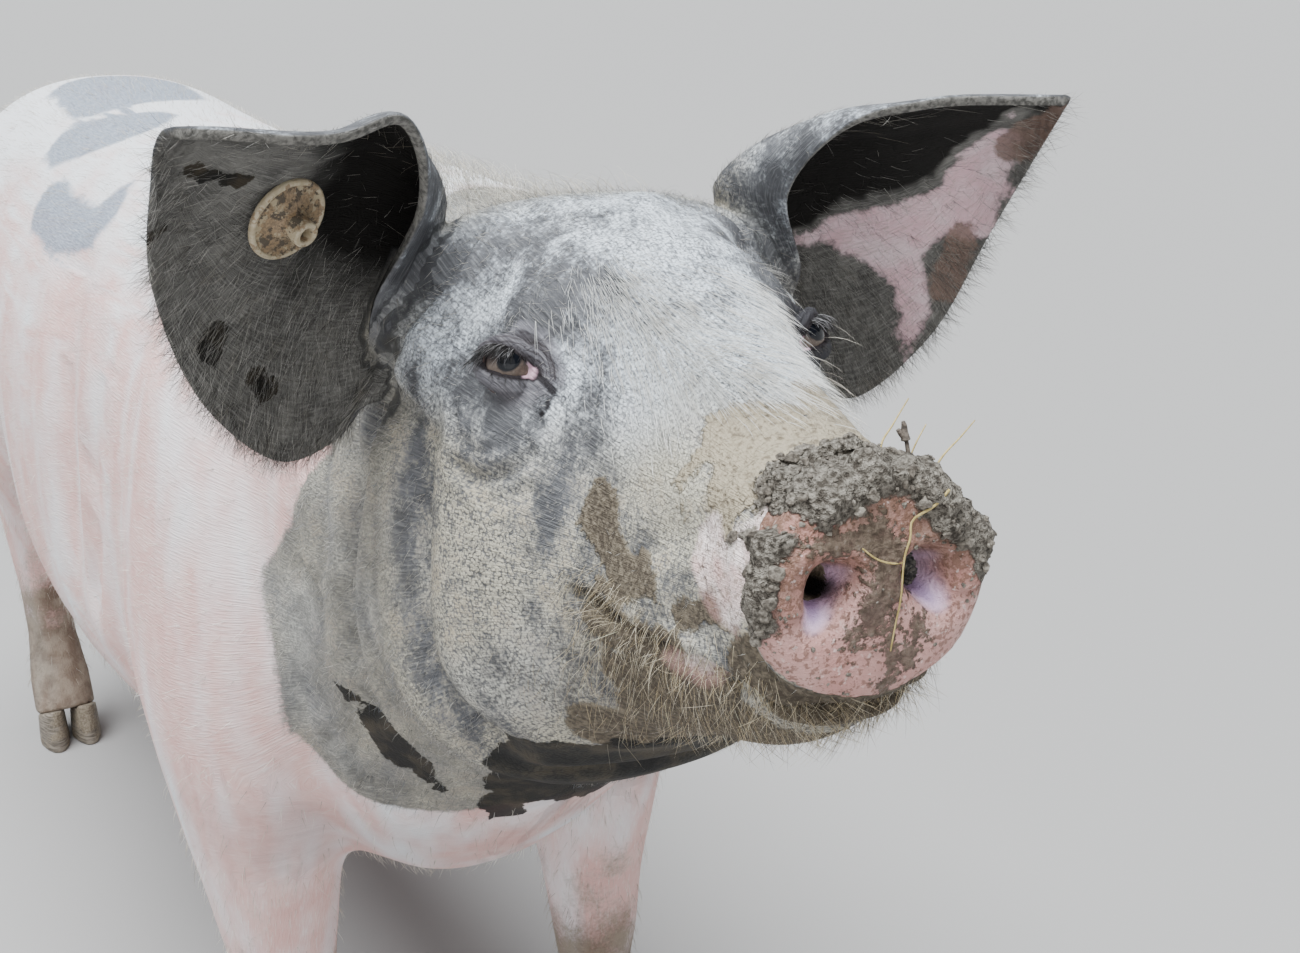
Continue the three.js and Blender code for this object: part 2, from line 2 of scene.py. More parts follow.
# # A muddy saddleback pig
# The imported model gives fixed solids in metres. Everything here is made in the same frame, so a piece goes
# where its solid is. First the frame is loaded.

# %% Load the frame
import math
import bmesh
import bpy
import numpy as np
from mathutils import Matrix, Vector, noise
from mathutils.bvhtree import BVHTree
from mathutils.kdtree import KDTree


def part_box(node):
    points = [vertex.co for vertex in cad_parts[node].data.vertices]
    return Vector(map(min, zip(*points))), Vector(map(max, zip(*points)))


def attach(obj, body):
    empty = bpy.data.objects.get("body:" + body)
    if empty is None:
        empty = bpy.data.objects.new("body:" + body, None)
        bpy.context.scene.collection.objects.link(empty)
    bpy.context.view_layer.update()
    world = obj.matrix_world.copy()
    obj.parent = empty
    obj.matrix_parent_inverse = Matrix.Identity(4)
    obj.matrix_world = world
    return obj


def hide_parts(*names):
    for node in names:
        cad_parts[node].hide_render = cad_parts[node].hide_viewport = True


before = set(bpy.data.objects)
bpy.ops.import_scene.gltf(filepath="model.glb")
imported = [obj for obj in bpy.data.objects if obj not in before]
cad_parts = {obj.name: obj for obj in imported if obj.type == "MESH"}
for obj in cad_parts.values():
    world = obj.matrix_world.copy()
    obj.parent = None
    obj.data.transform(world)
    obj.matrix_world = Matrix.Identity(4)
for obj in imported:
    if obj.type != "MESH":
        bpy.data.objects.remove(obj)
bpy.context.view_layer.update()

# %% [markdown]
# ## The head's own axes
# The head is turned and the nose is raised, so most of the shaping is easier in axes that turn with it:
# side, forward and up, in millimetres from the point between the eyes. The eyes' solids say where that
# point is.

# %% The head's frame
MM = 0.001
SIDES = {"left": 1, "right": -1}


def middle_of(node):
    low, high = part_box(node)
    return (np.array(low) + np.array(high)) / 2


EYES_FORWARD = -3
EYE = {"side": 61, "forward": -0.5, "up": 2.8, "radius": 12.5}
YAW, PITCH = math.radians(11), math.radians(10)
TURN = np.array((Matrix.Rotation(-YAW, 3, "Z") @ Matrix.Rotation(-PITCH, 3, "X")))
EYES_AT = (middle_of("eye_left") + middle_of("eye_right")) / 2 + TURN @ (0, EYES_FORWARD * MM, 0)


def to_head(points):
    """Row-frame points as side, forward and up of the eyes, in millimetres."""
    local = (np.asarray(points) - EYES_AT) @ TURN / MM
    return local * (1, -1, 1)


def from_head(local):
    """The row-frame points of side, forward and up in millimetres."""
    return EYES_AT + (np.asarray(local, float) * (1, -1, 1) * MM) @ TURN.T


def head_direction(local):
    return (np.asarray(local, float) * (1, -1, 1)) @ TURN.T


print("eyes at", EYES_AT.round(4))

# %% [markdown]
# ## Meshes as arrays
# Sculpting by code means moving many points at once. These helpers carry a mesh's points to arrays and
# back, and give each point its normal and its neighbours.

# %% Mesh helpers


def mesh_object(name, bm):
    mesh = bpy.data.meshes.new(name)
    bm.to_mesh(mesh)
    bm.free()
    piece = bpy.data.objects.new(name, mesh)
    bpy.context.scene.collection.objects.link(piece)
    return piece


def from_piece(piece):
    bm = bmesh.new()
    bm.from_mesh(piece.data)
    return bm


def pour(part, whole):
    """Adds one mesh in the making to another."""
    held = bpy.data.meshes.new("held")
    part.to_mesh(held)
    part.free()
    whole.from_mesh(held)
    bpy.data.meshes.remove(held)


def smooth_faces(mesh):
    mesh.polygons.foreach_set("use_smooth", np.ones(len(mesh.polygons), bool))


def points_of(mesh):
    values = np.empty(len(mesh.vertices) * 3, np.float32)
    mesh.vertices.foreach_get("co", values)
    return values.reshape(-1, 3).astype(float)


def set_points(mesh, points):
    mesh.vertices.foreach_set("co", points.astype(np.float32).ravel())
    mesh.update()


def normals_of(mesh):
    values = np.empty(len(mesh.vertices) * 3, np.float32)
    mesh.vertex_normals.foreach_get("vector", values)
    return values.reshape(-1, 3).astype(float)


def edges_of(mesh):
    values = np.empty(len(mesh.edges) * 2, np.int32)
    mesh.edges.foreach_get("vertices", values)
    return values.reshape(-1, 2)


def set_attribute(mesh, name, values):
    layer = mesh.attributes.new(name, "FLOAT", "POINT")
    layer.data.foreach_set("value", np.asarray(values, np.float32))


def mark(name, values, low=-20, high=20):
    """Keeps a value at each point of the skin, between two bounds, for the materials."""
    set_attribute(skin.data, name, np.clip(values, low, high))


def set_vectors(mesh, name, values):
    layer = mesh.attributes.new(name, "FLOAT_VECTOR", "POINT")
    layer.data.foreach_set("vector", np.asarray(values, np.float32).ravel())


def relax(mesh, rounds, share):
    """Moves every point towards the middle of its neighbours, by its share, so often."""
    points, edges = points_of(mesh), edges_of(mesh)
    count = len(points)
    both = np.concatenate([edges, edges[:, ::-1]])
    valence = np.maximum(np.bincount(both[:, 0], minlength=count), 1)
    share = np.asarray(share, float).reshape(-1, 1)
    for _ in range(rounds):
        near = np.stack([np.bincount(both[:, 0], points[both[:, 1], k], count) for k in range(3)], 1)
        points += share * (near / valence[:, None] - points)
    set_points(mesh, points)


def apply_modifiers(piece):
    """Puts a piece's modifiers into its mesh."""
    bpy.context.view_layer.update()
    evaluated = piece.evaluated_get(bpy.context.evaluated_depsgraph_get())
    mesh = bpy.data.meshes.new_from_object(evaluated)
    piece.modifiers.clear()
    piece.data = mesh
    return piece


def smooth_step(value, low, high):
    share = np.clip((value - low) / (high - low), 0, 1)
    return share * share * (3 - 2 * share)


def bump(distance, reach):
    return np.exp(-(distance / reach) ** 2)


def near_path(local, path):
    """How far each point is from a place, or from a line through some places."""
    path = np.asarray(path, float)
    best = np.linalg.norm(local - path[0], axis=1)
    for a, b in zip(path[:-1], path[1:]):
        along = np.clip(((local - a) @ (b - a)) / ((b - a) @ (b - a)), 0, 1)
        best = np.minimum(best, np.linalg.norm(local - a - along[:, None] * (b - a), axis=1))
    return best


# %% [markdown]
# ## One skin
# A pig's hide is one sheet from snout to tail, so the solids of the flesh are joined and remeshed into one
# closed surface. Each copy swells a little first, which closes the thin gaps between the solids. The facets
# of the solids are then relaxed away: many rounds on the big soft body, few on the small hard forms.

# %% Join the flesh
FLESH = ["head", "snout", "snout_disc", "lower_jaw", "neck", "trunk", "foreleg_left", "foreleg_right",
         "hindleg_left", "hindleg_right", "tail"]
SWELL, SKIN_VOXEL = 0.0006, 0.0034


def swollen_copy(node, swell):
    bm = from_piece(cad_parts[node])
    bmesh.ops.remove_doubles(bm, verts=bm.verts, dist=1e-5)
    bm.normal_update()
    for vert in bm.verts:
        vert.co += vert.normal * swell
    return bm


def join_copies(name, nodes, swell):
    whole = bmesh.new()
    for node in nodes:
        pour(swollen_copy(node, swell), whole)
    return mesh_object(name, whole)


def remesh(piece, voxel):
    grid = piece.modifiers.new("voxels", "REMESH")
    grid.mode, grid.voxel_size = "VOXEL", voxel
    return apply_modifiers(piece)


skin = remesh(join_copies("skin", FLESH + ["eye_left", "eye_right"], SWELL), SKIN_VOXEL)
print("skin points after remesh:", len(skin.data.vertices))

# %% Relax the facets
DISC = {"width": 80, "height": 74, "depth": 14, "forward": 158, "up": -59, "lean": math.radians(9)}


def to_disc(local):
    """Head millimetres as across, up and out of the snout's disc."""
    rise, out = local[:, 2] - DISC["up"], local[:, 1] - DISC["forward"]
    c, s = math.cos(DISC["lean"]), math.sin(DISC["lean"])
    return np.stack([local[:, 0], rise * c - out * s, out * c + rise * s], 1)


points = points_of(skin.data)
local = to_head(points)
in_head = smooth_step(local[:, 1], -150, -90) * smooth_step(points[:, 2], 0.30, 0.36)
in_snout = smooth_step(local[:, 1], 128, 150) * in_head
low = smooth_step(points[:, 2], 0.36, 0.20)
in_tail = smooth_step(points[:, 1], 0.645, 0.66)
body = (1 - in_head) * (1 - low) * (1 - in_tail)
relax(skin.data, 60, 0.5 * body)
relax(skin.data, 16, 0.5 * in_head * (1 - in_snout) + 0.3 * low * smooth_step(points[:, 2], 0.05, 0.09))
relax(skin.data, 3, 0.5 * np.clip(in_snout + in_tail + low, 0, 1))

# %% Thin the mesh where the body is smooth
KEPT_WHEN_THINNED = 0.26
group = skin.vertex_groups.new(name="smooth")
points = points_of(skin.data)
local = to_head(points)
loose = smooth_step(local[:, 1], -90, -150)
for level in range(1, 11):
    chosen = np.flatnonzero((loose * 10).round().astype(int) == level)
    group.add(chosen.tolist(), level / 10, "REPLACE")
thin = skin.modifiers.new("thin", "DECIMATE")
thin.ratio = KEPT_WHEN_THINNED
thin.vertex_group = "smooth"
apply_modifiers(skin)
skin.vertex_groups.clear()
print("skin faces after thinning:", len(skin.data.polygons))

# %% Finer mesh where the face has detail


def refine(piece, wanted):
    """Splits the edges whose two ends are both wanted; wanted takes head millimetres."""
    bm = from_piece(piece)
    bmesh.ops.triangulate(bm, faces=bm.faces)
    chosen = wanted(to_head(np.array([v.co for v in bm.verts])))
    bm.verts.ensure_lookup_table()
    edges = [e for e in bm.edges if chosen[e.verts[0].index] and chosen[e.verts[1].index]]
    bmesh.ops.subdivide_edges(bm, edges=edges, cuts=1, use_grid_fill=True)
    bmesh.ops.triangulate(bm, faces=[f for f in bm.faces if len(f.verts) > 3])
    bm.to_mesh(piece.data)
    bm.free()


NOSTRIL_APART = 36
MOUTH_LINE = [[56, 46, -78], [53, 58, -80], [46, 78, -84], [41, 100, -87], [35, 120, -89],
              [30, 136, -95], [18, 150, -100], [0, 156, -102]]


def mirrored(local):
    """The places with both sides of the head laid on the left one."""
    return np.abs(local * (1, 0, 0)) + local * (0, 1, 1)


def from_eye(local):
    return np.linalg.norm(mirrored(local) - (EYE["side"], EYE["forward"], EYE["up"]), axis=1)


refine(skin, lambda p: (from_eye(p) < 36) | (p[:, 1] > 118) | (near_path(mirrored(p), MOUTH_LINE) < 15))
refine(skin, lambda p: (from_eye(p) < 20.5)
       | (np.hypot(np.abs(to_disc(p)[:, 0]) - NOSTRIL_APART / 2, to_disc(p)[:, 1]) < 17) & (p[:, 1] > 140))
print("skin faces after refining:", len(skin.data.polygons))

# %% [markdown]
# ## Folds, lids and lips
# Old hide hangs in folds, and the face is made of small forms: lids that wrap the eyeball, a bag under it,
# a mouth line with lips, nostrils like drops. A fold is a line in space that presses the points near it
# inwards and lets the skin beside it swell. The lids are worked out round the eyeball's centre instead,
# because a lid must keep one distance from the ball: inside the slit the skin drops behind the ball, so the
# ball shows.

# %% Soft forms and folds of the head
FORMS = [  # side, forward, up, reach, height
    ([62, 2, 0], 20, 4.0), ([50, 6, 25], 15, 3.0), ([72, 2, -21], 13, 3.5), ([62, 24, -14], 12, 2.0),
    ([86, 4, -64], 34, 5.0),
    ([84, -8, -104], 34, 5.0), ([40, 40, 14], 14, 1.5), ([47, 84, -64], 16, 2.5), ([0, 96, 6], 20, 2.0),
    ([30, 138, -30], 10, 2.5), ([46, 66, -92], 13, 2.5), ([36, 112, -98], 11, 2.5), ([0, 60, 28], 22, -3.0),
    ([108, -150, -60], 18, 4.0), ([112, -152, -110], 20, 4.0), ([120, -176, -150], 26, 4.0),
    ([116, -186, -60], 16, 3.0), ([22, -30, 62], 26, 3.0), ([60, -10, 40], 12, 2.0),
]
FOLDS = [  # places along the fold, width, depth, swelling beside it
    ([[80, -15, -35], [74, -1, -39], [66, 13, -36], [61, 21, -28]], 3.0, 3.4, 1.2),
    ([[84, -18, -26], [82, -10, -38], [74, 6, -46], [64, 22, -42]], 3.0, 1.8, 0.6),
    ([[78, -24, -12], [79, -17, -24], [73, -3, -30], [64, 14, -26], [57, 24, -18]], 2.2, 1.3, 0.5),
    ([[56, -56, 58], [70, -56, 44], [82, -61, 29], [93, -69, 12], [100, -92, -8]], 5.0, 6.0, 1.5),
    ([[66, -74, 60], [40, -54, 63], [28, -34, 60], [18, -10, 54]], 8.0, 1.8, 1.0),
    ([[43, 24, 18], [39, 37, 10], [41, 43, -1], [43, 46, -14]], 2.2, 2.4, 0.8),
    ([[47, 22, 15], [43, 33, 6], [45, 38, -4], [48, 38, -14]], 1.8, 1.4, 0.5),
    ([[38, 27, 22], [33, 42, 12], [35, 49, -1], [38, 52, -12]], 2.0, 1.3, 0.4),
    ([[100, -97, -8], [96, -72, -12], [90, -46, -25], [94, -47, -59], [97, -50, -91], [96, -49, -120],
      [88, -44, -141], [74, -40, -157]], 13.0, 8.0, 1.6),
    ([[100, -93, -8], [95, -66, -12], [88, -40, -25], [92, -42, -59], [95, -46, -91]], 4.0, 1.6, 0.3),
    ([[101, -95, -20], [104, -110, -47], [108, -125, -78], [110, -137, -108], [108, -152, -142]],
     6.5, 5.0, 1.4),
    ([[128, -204, -107], [126, -210, -142], [123, -219, -176], [114, -217, -206], [101, -212, -226]],
     5.0, 4.0, 1.4),
    ([[90, -60, 8], [86, -40, -8], [84, -32, -26]], 5.0, 1.6, 0.6),
    ([[104, -120, -20], [106, -124, -50], [109, -132, -90], [112, -150, -130], [104, -166, -172]],
     7.0, 5.0, 1.2),
    ([[112, -160, -30], [116, -166, -66], [121, -176, -100], [124, -192, -136], [116, -206, -176]],
     7.0, 4.0, 1.2),
    ([[120, -180, -40], [126, -196, -71], [129, -204, -103], [130, -218, -140], [127, -232, -185]],
     6.0, 3.5, 1.0),
    ([[0, 148, -24], [20, 148, -26], [32, 148, -36], [38, 150, -54], [38, 152, -72], [30, 154, -92]],
     3.0, 2.6, 0.8),
    ([[0, 138, -20], [16, 138, -22], [28, 138, -30]], 2.2, 1.0, 0.4),
    ([[0, 130, -18], [18, 130, -20], [30, 129, -30]], 2.4, 0.8, 0.3),
    ([[44, 84, -60], [42, 100, -50], [38, 122, -46]], 7.0, 2.4, 0.6),
    ([[70, -6, -150], [50, 10, -152], [20, 16, -150], [0, 18, -150]], 7.0, 3.0, 1.0),
    ([[86, -60, -166], [60, -44, -178], [24, -36, -180], [0, -34, -180]], 8.0, 4.0, 1.0),
]


def mould(mesh, forms, folds, in_axes):
    points, normals = points_of(mesh), normals_of(mesh)
    local = in_axes(points)
    push = np.zeros(len(points))
    for at, reach, height in forms:
        push += height * bump(near_path(local, [at]), reach)
    for path, width, depth, beside in folds:
        away = near_path(local, path)
        push += beside * bump(away - 2.2 * width, width) - depth * bump(away, width)
    set_points(mesh, points + normals * push[:, None] * MM)


SHOULDER_CREASE = [([[150, -85, 575], [157, -79, 509], [160, -68, 451], [156, -45, 395]], 15.0, 7.0, 2.5),
                   ([[128, 30, 600], [140, 12, 540], [142, 6, 470], [130, 0, 400]], 26.0, 5.0, 1.5)]
mould(skin.data, FORMS, FOLDS, lambda points: mirrored(to_head(points)))
mould(skin.data, [], SHOULDER_CREASE, lambda points: mirrored(points / MM))

# %% The mouth's line and the lips
MOUTH_WIDTH = 2.6


def part_lips(mesh):
    points, normals = points_of(mesh), normals_of(mesh)
    local = mirrored(to_head(points))
    away = near_path(local, MOUTH_LINE)
    lips = bump(away - 5.5, 3.6) * smooth_step(local[:, 1], 40, 70)
    push = 1.6 * lips - 6.5 * bump(away, MOUTH_WIDTH)
    set_points(mesh, points + normals * push[:, None] * MM)


part_lips(skin.data)

# %% Nostrils


def by_nostril(across, up):
    """0 to 1 in the nostril's slope, from its hole down and outwards, and 0 to 1 in the hole itself."""
    aside = np.abs(across) - NOSTRIL_APART / 2
    down = np.clip((1 - up) / 17, 0, 1)
    middle = -2.5 + 7.0 * down
    width = 7.0 - 2.2 * down
    slope = bump(aside - middle, width) * smooth_step(up, -19, -8) * (1 - smooth_step(up, 3, 9))
    return slope, bump(np.hypot(aside + 3.5, up + 0.5), 4.8)


def open_nostrils(mesh):
    """Deepens each nostril's hole and cuts a slope that runs down and outwards from it."""
    points = points_of(mesh)
    local = to_head(points)
    across, up, out = to_disc(local).T
    on_face = smooth_step(out, -6, 6)
    slope, hole = by_nostril(across, up)
    lip = bump(np.hypot((np.abs(across) - NOSTRIL_APART / 2) * 0.8, up + 1) - 12, 3.0) * (up > -8)
    inwards = -(5.0 * slope + 15.0 * hole) * on_face + 1.4 * lip * on_face
    c, s = math.cos(DISC["lean"]), math.sin(DISC["lean"])
    local += np.stack([0 * inwards, inwards * c, -inwards * s], 1)
    set_points(mesh, from_head(local))


open_nostrils(skin.data)

# %% Lids round the eyeball
OUTWARD = np.array([0.42, 0.90, 0.09])
INWARD_SLIT = np.array([-0.80, 0.55, -0.34])


def slit_axes():
    """Unit axes of the left eye's slit: towards its inner corner, up, and out of the head."""
    out = OUTWARD / np.linalg.norm(OUTWARD)
    inner = INWARD_SLIT - out * (INWARD_SLIT @ out)
    inner /= np.linalg.norm(inner)
    up = np.cross(inner, out)
    return np.stack([inner, up * np.sign(up[2]), out])


SLIT = slit_axes()


def on_slit(local):
    """Places near an eye as distances over the ball along and up the slit, and from the ball's centre."""
    away = mirrored(local) - (EYE["side"], EYE["forward"], EYE["up"])
    reach = np.linalg.norm(away, axis=1)
    inner, up, out = ((away / np.maximum(reach, 1e-6)[:, None]) @ SLIT.T).T
    angle = np.arccos(np.clip(out, -1, 1))
    spread = EYE["radius"] * angle / np.maximum(np.hypot(inner, up), 1e-6)
    return inner * spread, up * spread, reach, out


def slit_opening(along, up):
    """Millimetres inside the slit's edge, less than zero on the lids, and how high the upper edge is."""
    share = np.clip((along + 14) / 28, 0, 1)
    arch = 2.05 * share ** 0.62 * (1 - share) ** 0.98
    upper, lower = 8.6 * arch, 4.3 * arch
    beyond = np.maximum(np.maximum(-14 - along, along - 14), 0)
    return np.where(beyond > 0, -np.hypot(beyond, up), np.minimum(upper - up, up + lower)), upper


def shape_lids(mesh):
    points = points_of(mesh)
    local = to_head(points)
    along, up, reach, out = on_slit(local)
    inside, upper = slit_opening(along, up)
    margin = np.maximum(-inside, 0)
    above = smooth_step(up - upper, -1, 1)
    ball = EYE["radius"]
    lid = ball + 1.3 + 1.9 * smooth_step(margin, 0, 6)
    lid += 0.34 * np.sin(margin * 2.6 + 0.25 * along) * smooth_step(margin, 0.8, 2.5) * (0.25 + 0.75 * above)
    lid -= (2.6 * above + 0.8 * (1 - above)) * bump(margin - 7.4, 1.4)
    lid += 2.2 * above * bump(margin - 10.6, 2.2)
    carry = smooth_step(margin, 5, 15)
    lid = lid * (1 - carry) + reach * carry
    floor = ball - 2.0 + 2.7 * smooth_step(along, 7.0, 9.5)
    wanted = lid + (floor - lid) * smooth_step(inside, 0.0, 1.1)
    share = smooth_step(out, -0.1, 0.25) * (1 - smooth_step(reach, 24, 34))
    new = reach + (wanted - reach) * share
    centre = np.stack([np.sign(local[:, 0]) * EYE["side"], 0 * up + EYE["forward"], 0 * up + EYE["up"]], 1)
    local = centre + (local - centre) * (new / np.maximum(reach, 1e-6))[:, None]
    set_points(mesh, from_head(local))


shape_lids(skin.data)
print("slit axes", SLIT.round(2).tolist())

# %% [markdown]
# ## Ears
# An ear is a cupped leaf of gristle and hide. Three rails run from its root to its tip: the front edge, the
# crown and the rear edge. A flat grid is bent over them, once as the ear's back and once as its hollow, and
# the two meet at a rounded rim. Its root runs on into the head, so the two can be joined into one skin.

# %% The ear's rails
EAR = {
    "front": [[100, -98, 4], [101, -72, 27], [82, -42, 64], [93, 4, 91], [120, 17, 95], [151, 26, 95],
              [180, 29, 95]],
    "crown": [[62, -92, 30], [56, -70, 48], [38, -110, 108], [92, -100, 120], [128, -62, 104],
              [161, -20, 101], [184, 24, 94]],
    "rear": [[64, -98, -18], [105, -84, -14], [118, -95, -29], [140, -97, -36], [171, -76, -8],
             [188, -44, 42], [184, 18, 90]],
}
DROOP = {"left": 2, "right": -4}
LIFT = {"left": 0, "right": 7}
TAG_ON_EAR = {"along": 0.67, "around": 0.53}


def on_rail(rail, t):
    """A smooth curve through the places of a rail, t from 0 to 1 as an array."""
    rail = np.asarray(rail, float)
    rail = np.concatenate([[2 * rail[0] - rail[1]], rail, [2 * rail[-1] - rail[-2]]])
    spans = len(rail) - 3
    i = np.minimum((t * spans).astype(int), spans - 1)
    w = (t * spans - i)[..., None]
    a, b, c, d = (rail[i + k] for k in range(4))
    ab, bc, cd = (np.linalg.norm(q - p, axis=-1, keepdims=True) ** 0.5 for p, q in ((a, b), (b, c), (c, d)))
    leave = ((b - a) / ab - (c - a) / (ab + bc) + (c - b) / bc) * bc
    arrive = ((c - b) / bc - (d - b) / (bc + cd) + (d - c) / cd) * bc
    bend, ease = 3 * (c - b) - 2 * leave - arrive, 2 * (b - c) + leave + arrive
    return b + leave * w + bend * w ** 2 + ease * w ** 3


def ear_point(t, s, name):
    front, crown, rear = (on_rail(EAR[rail], t) for rail in ("front", "crown", "rear"))
    rise = DROOP[name] * bump(t - 0.72, 0.16) + LIFT[name] * bump(t - 0.53, 0.10)
    front = front + np.stack([0 * t, 0 * t, rise], -1)
    s = s[..., None]
    return (1 - s) ** 2 * front + 2 * s * (1 - s) * crown + s ** 2 * rear


def ear_sheet(t, s, name):
    """Places on the ear's middle sheet, the way its back faces there, and its thickness."""
    low, high = np.maximum(t - 0.02, 0), np.minimum(t + 0.02, 1)
    along = ear_point(high, s, name) - ear_point(low, s, name)
    low, high = np.maximum(s - 0.02, 0), np.minimum(s + 0.02, 1)
    around = ear_point(t, high, name) - ear_point(t, low, name)
    facing = np.cross(around, along)
    facing /= np.maximum(np.linalg.norm(facing, axis=-1, keepdims=True), 1e-9)
    middle = 7 - 4 * t ** 0.6
    thick = middle + (2.2 - middle) * np.abs(2 * s - 1) ** 3
    return ear_point(t, s, name), facing, thick


# %% Bend the ears' grids
ALONG, AROUND = 84, 64
HEAD_SIDE_OF_EAR = np.array([46.0, -88.0, 12.0])


def crowd_ends(share, ends):
    """Spreads even steps so that they are finer near 0 and 1."""
    return share * (1 - ends) + ends * (0.5 - 0.5 * np.cos(np.pi * share))


def ear_relief(t, s, inside):
    """Ridges of gristle in the hollow, and the soft hollows between them, in millimetres."""
    ridge = 1.6 * bump(s - 0.16 - 0.05 * t, 0.035) + 1.2 * bump(s - 0.30 - 0.10 * t, 0.03)
    ridge -= 1.8 * bump(s - 0.23 - 0.08 * t, 0.035) + 1.0 * bump(s - 0.40, 0.05)
    ridge *= smooth_step(t, 0.14, 0.3) * (1 - smooth_step(t, 0.62, 0.86))
    waves = 0.8 * np.sin(9 * s + 5 * t) * np.sin(11 * t + 2) + 0.4 * np.sin(23 * s - 9 * t) * np.sin(19 * t)
    return inside * ridge + waves * smooth_step(t, 0.2, 0.4) * (1 - np.abs(2 * s - 1) ** 4)


def ear_side(name, side, half):
    """One face of an ear as a grid: half is 1 on its back and -1 in its hollow."""
    bm = bmesh.new()
    bmesh.ops.create_grid(bm, x_segments=ALONG, y_segments=AROUND, size=0.5)
    places = np.array([v.co for v in bm.verts]) + 0.5
    t = crowd_ends(places[:, 0], 0.5) * 1.16 - 0.16
    s = crowd_ends(places[:, 1], 0.8)
    sheet, facing, thick = ear_sheet(np.maximum(t, 0), s, name)
    edge = np.minimum(np.minimum(s, 1 - s) * 190, (1 - t) * 190)
    rolled = np.sqrt(np.clip(1 - (1 - np.clip(edge / 4.5, 0, 1)) ** 2, 0, 1))
    rolled = np.where(places[:, 0] < 1e-4, 0, rolled)
    rim = 2.2 * bump(edge - 4.0, 4.0) * (s < 0.5) * smooth_step(t, 0.05, 0.3)
    offset = half * rolled * (thick / 2 + rim * (half < 0)) + ear_relief(t, s, half < 0) * rolled
    sheet = sheet + facing * offset[:, None]
    deep = smooth_step(-t, 0, 0.16)[:, None]
    sheet = sheet * (1 - deep * 0.8) + HEAD_SIDE_OF_EAR * deep * 0.8
    for vert, place in zip(bm.verts, from_head(sheet * (side, 1, 1))):
        vert.co = place
    return bm


def make_ear(name, side):
    both = bmesh.new()
    for half in (1, -1):
        pour(ear_side(name, side, half), both)
    bmesh.ops.remove_doubles(both, verts=both.verts, dist=2e-5)
    bmesh.ops.triangulate(both, faces=both.faces)
    bmesh.ops.recalc_face_normals(both, faces=both.faces)
    return mesh_object(f"ear_sheet_{name}", both)


ear_pieces = {name: make_ear(name, side) for name, side in SIDES.items()}
for name, ear in ear_pieces.items():
    print(name, "ear faces:", len(ear.data.polygons))

# %% Join the ears to the skin


def tree_of(piece):
    bm = from_piece(piece)
    tree = BVHTree.FromBMesh(bm)
    bm.free()
    return tree


def distance_to(tree, points, most=0.02):
    """How far points are from a surface, at most so far."""
    found = [tree.find_nearest(Vector(p), most)[3] for p in points]
    return np.array([most if away is None else away for away in found])


SHORTEST_EDGE = 2e-4
bare_skin = tree_of(skin)
ear_trees = {name: tree_of(ear) for name, ear in ear_pieces.items()}
for name, ear in ear_pieces.items():
    union = skin.modifiers.new("ear", "BOOLEAN")
    union.operation, union.solver, union.object = "UNION", "MANIFOLD", ear
    apply_modifiers(skin)
    bpy.data.objects.remove(ear)
bm = from_piece(skin)
bmesh.ops.remove_doubles(bm, verts=bm.verts, dist=SHORTEST_EDGE)
bmesh.ops.triangulate(bm, faces=bm.faces)
bm.to_mesh(skin.data)
bm.free()

# %% Soften the crease where an ear leaves the head
points = points_of(skin.data)
local = mirrored(to_head(points))
by_root = np.flatnonzero((local[:, 0] > 30) & (local[:, 1] < -10) & (local[:, 1] > -150)
                         & (local[:, 2] > -70))
at_join = np.zeros(len(points))
for tree in ear_trees.values():
    both = np.maximum(distance_to(tree, points[by_root]), distance_to(bare_skin, points[by_root]))
    at_join[by_root] = np.maximum(at_join[by_root], 1 - smooth_step(both, 0.002, 0.009))
relax(skin.data, 14, 0.5 * at_join)
print("skin faces with ears:", len(skin.data.polygons))

# %% [markdown]
# ## Where the colours and the mud are
# The hide is dark over head and neck and pink behind a line round the neck. Dried mud lies on it as a pale
# film, with darker patches where it is still damp. Each marking is a distance from its own edge, kept at
# the skin's points, so the shader can draw a crisp or a ragged edge finer than the mesh. Points of the ears
# also learn where they are on the ear's sheet.

# %% Ear places on the skin


def ear_shares(points):
    """For points on an ear: share from root to tip, share from front to rear, and 1 in the hollow."""
    local = to_head(points)
    found = np.full((len(points), 3), -1.0)
    t, s = (grid.ravel() for grid in np.meshgrid(np.linspace(0.01, 0.99, 60), np.linspace(0.01, 0.99, 44),
                                                 indexing="ij"))
    for name, side in SIDES.items():
        sheet, facing, _ = ear_sheet(t, s, name)
        slope_t = (ear_point(t + 0.005, s, name) - ear_point(t - 0.005, s, name)) * 100
        slope_s = (ear_point(t, s + 0.005, name) - ear_point(t, s - 0.005, name)) * 100
        tree = KDTree(len(sheet))
        for i, place in enumerate(sheet):
            tree.insert(place, i)
        tree.balance()
        here = local * (side, 1, 1)
        likely = np.flatnonzero((here[:, 0] > 34) & (here[:, 1] > -170) & (here[:, 2] > -60))
        for k in likely:
            _, i, away = tree.find(here[k])
            if away < 8:
                off = here[k] - sheet[i]
                more_t = np.clip(off @ slope_t[i] / (slope_t[i] @ slope_t[i]), -0.02, 0.02)
                more_s = np.clip(off @ slope_s[i] / (slope_s[i] @ slope_s[i]), -0.03, 0.03)
                found[k] = t[i] + more_t, s[i] + more_s, float(off @ facing[i] < 0)
    return found


points = points_of(skin.data)
normals = normals_of(skin.data)
local = to_head(points)
face = mirrored(local)
on_ear = ear_shares(points)
is_ear = (on_ear[:, 0] > 0.02) & (at_join < 0.9)
hollow = is_ear * (on_ear[:, 2] > 0.5)
print("points on the ears:", int(is_ear.sum()))

# %% The dark collar
COLLAR = [  # degrees round the neck from its top, and how far back the dark hide reaches there
    [0, -330], [30, -352], [47, -368], [60, -342], [84, -301], [100, -303], [126, -305], [139, -332],
    [148, -363], [163, -402], [180, -412],
]
COLLAR_AT = (0.014, 0.480)


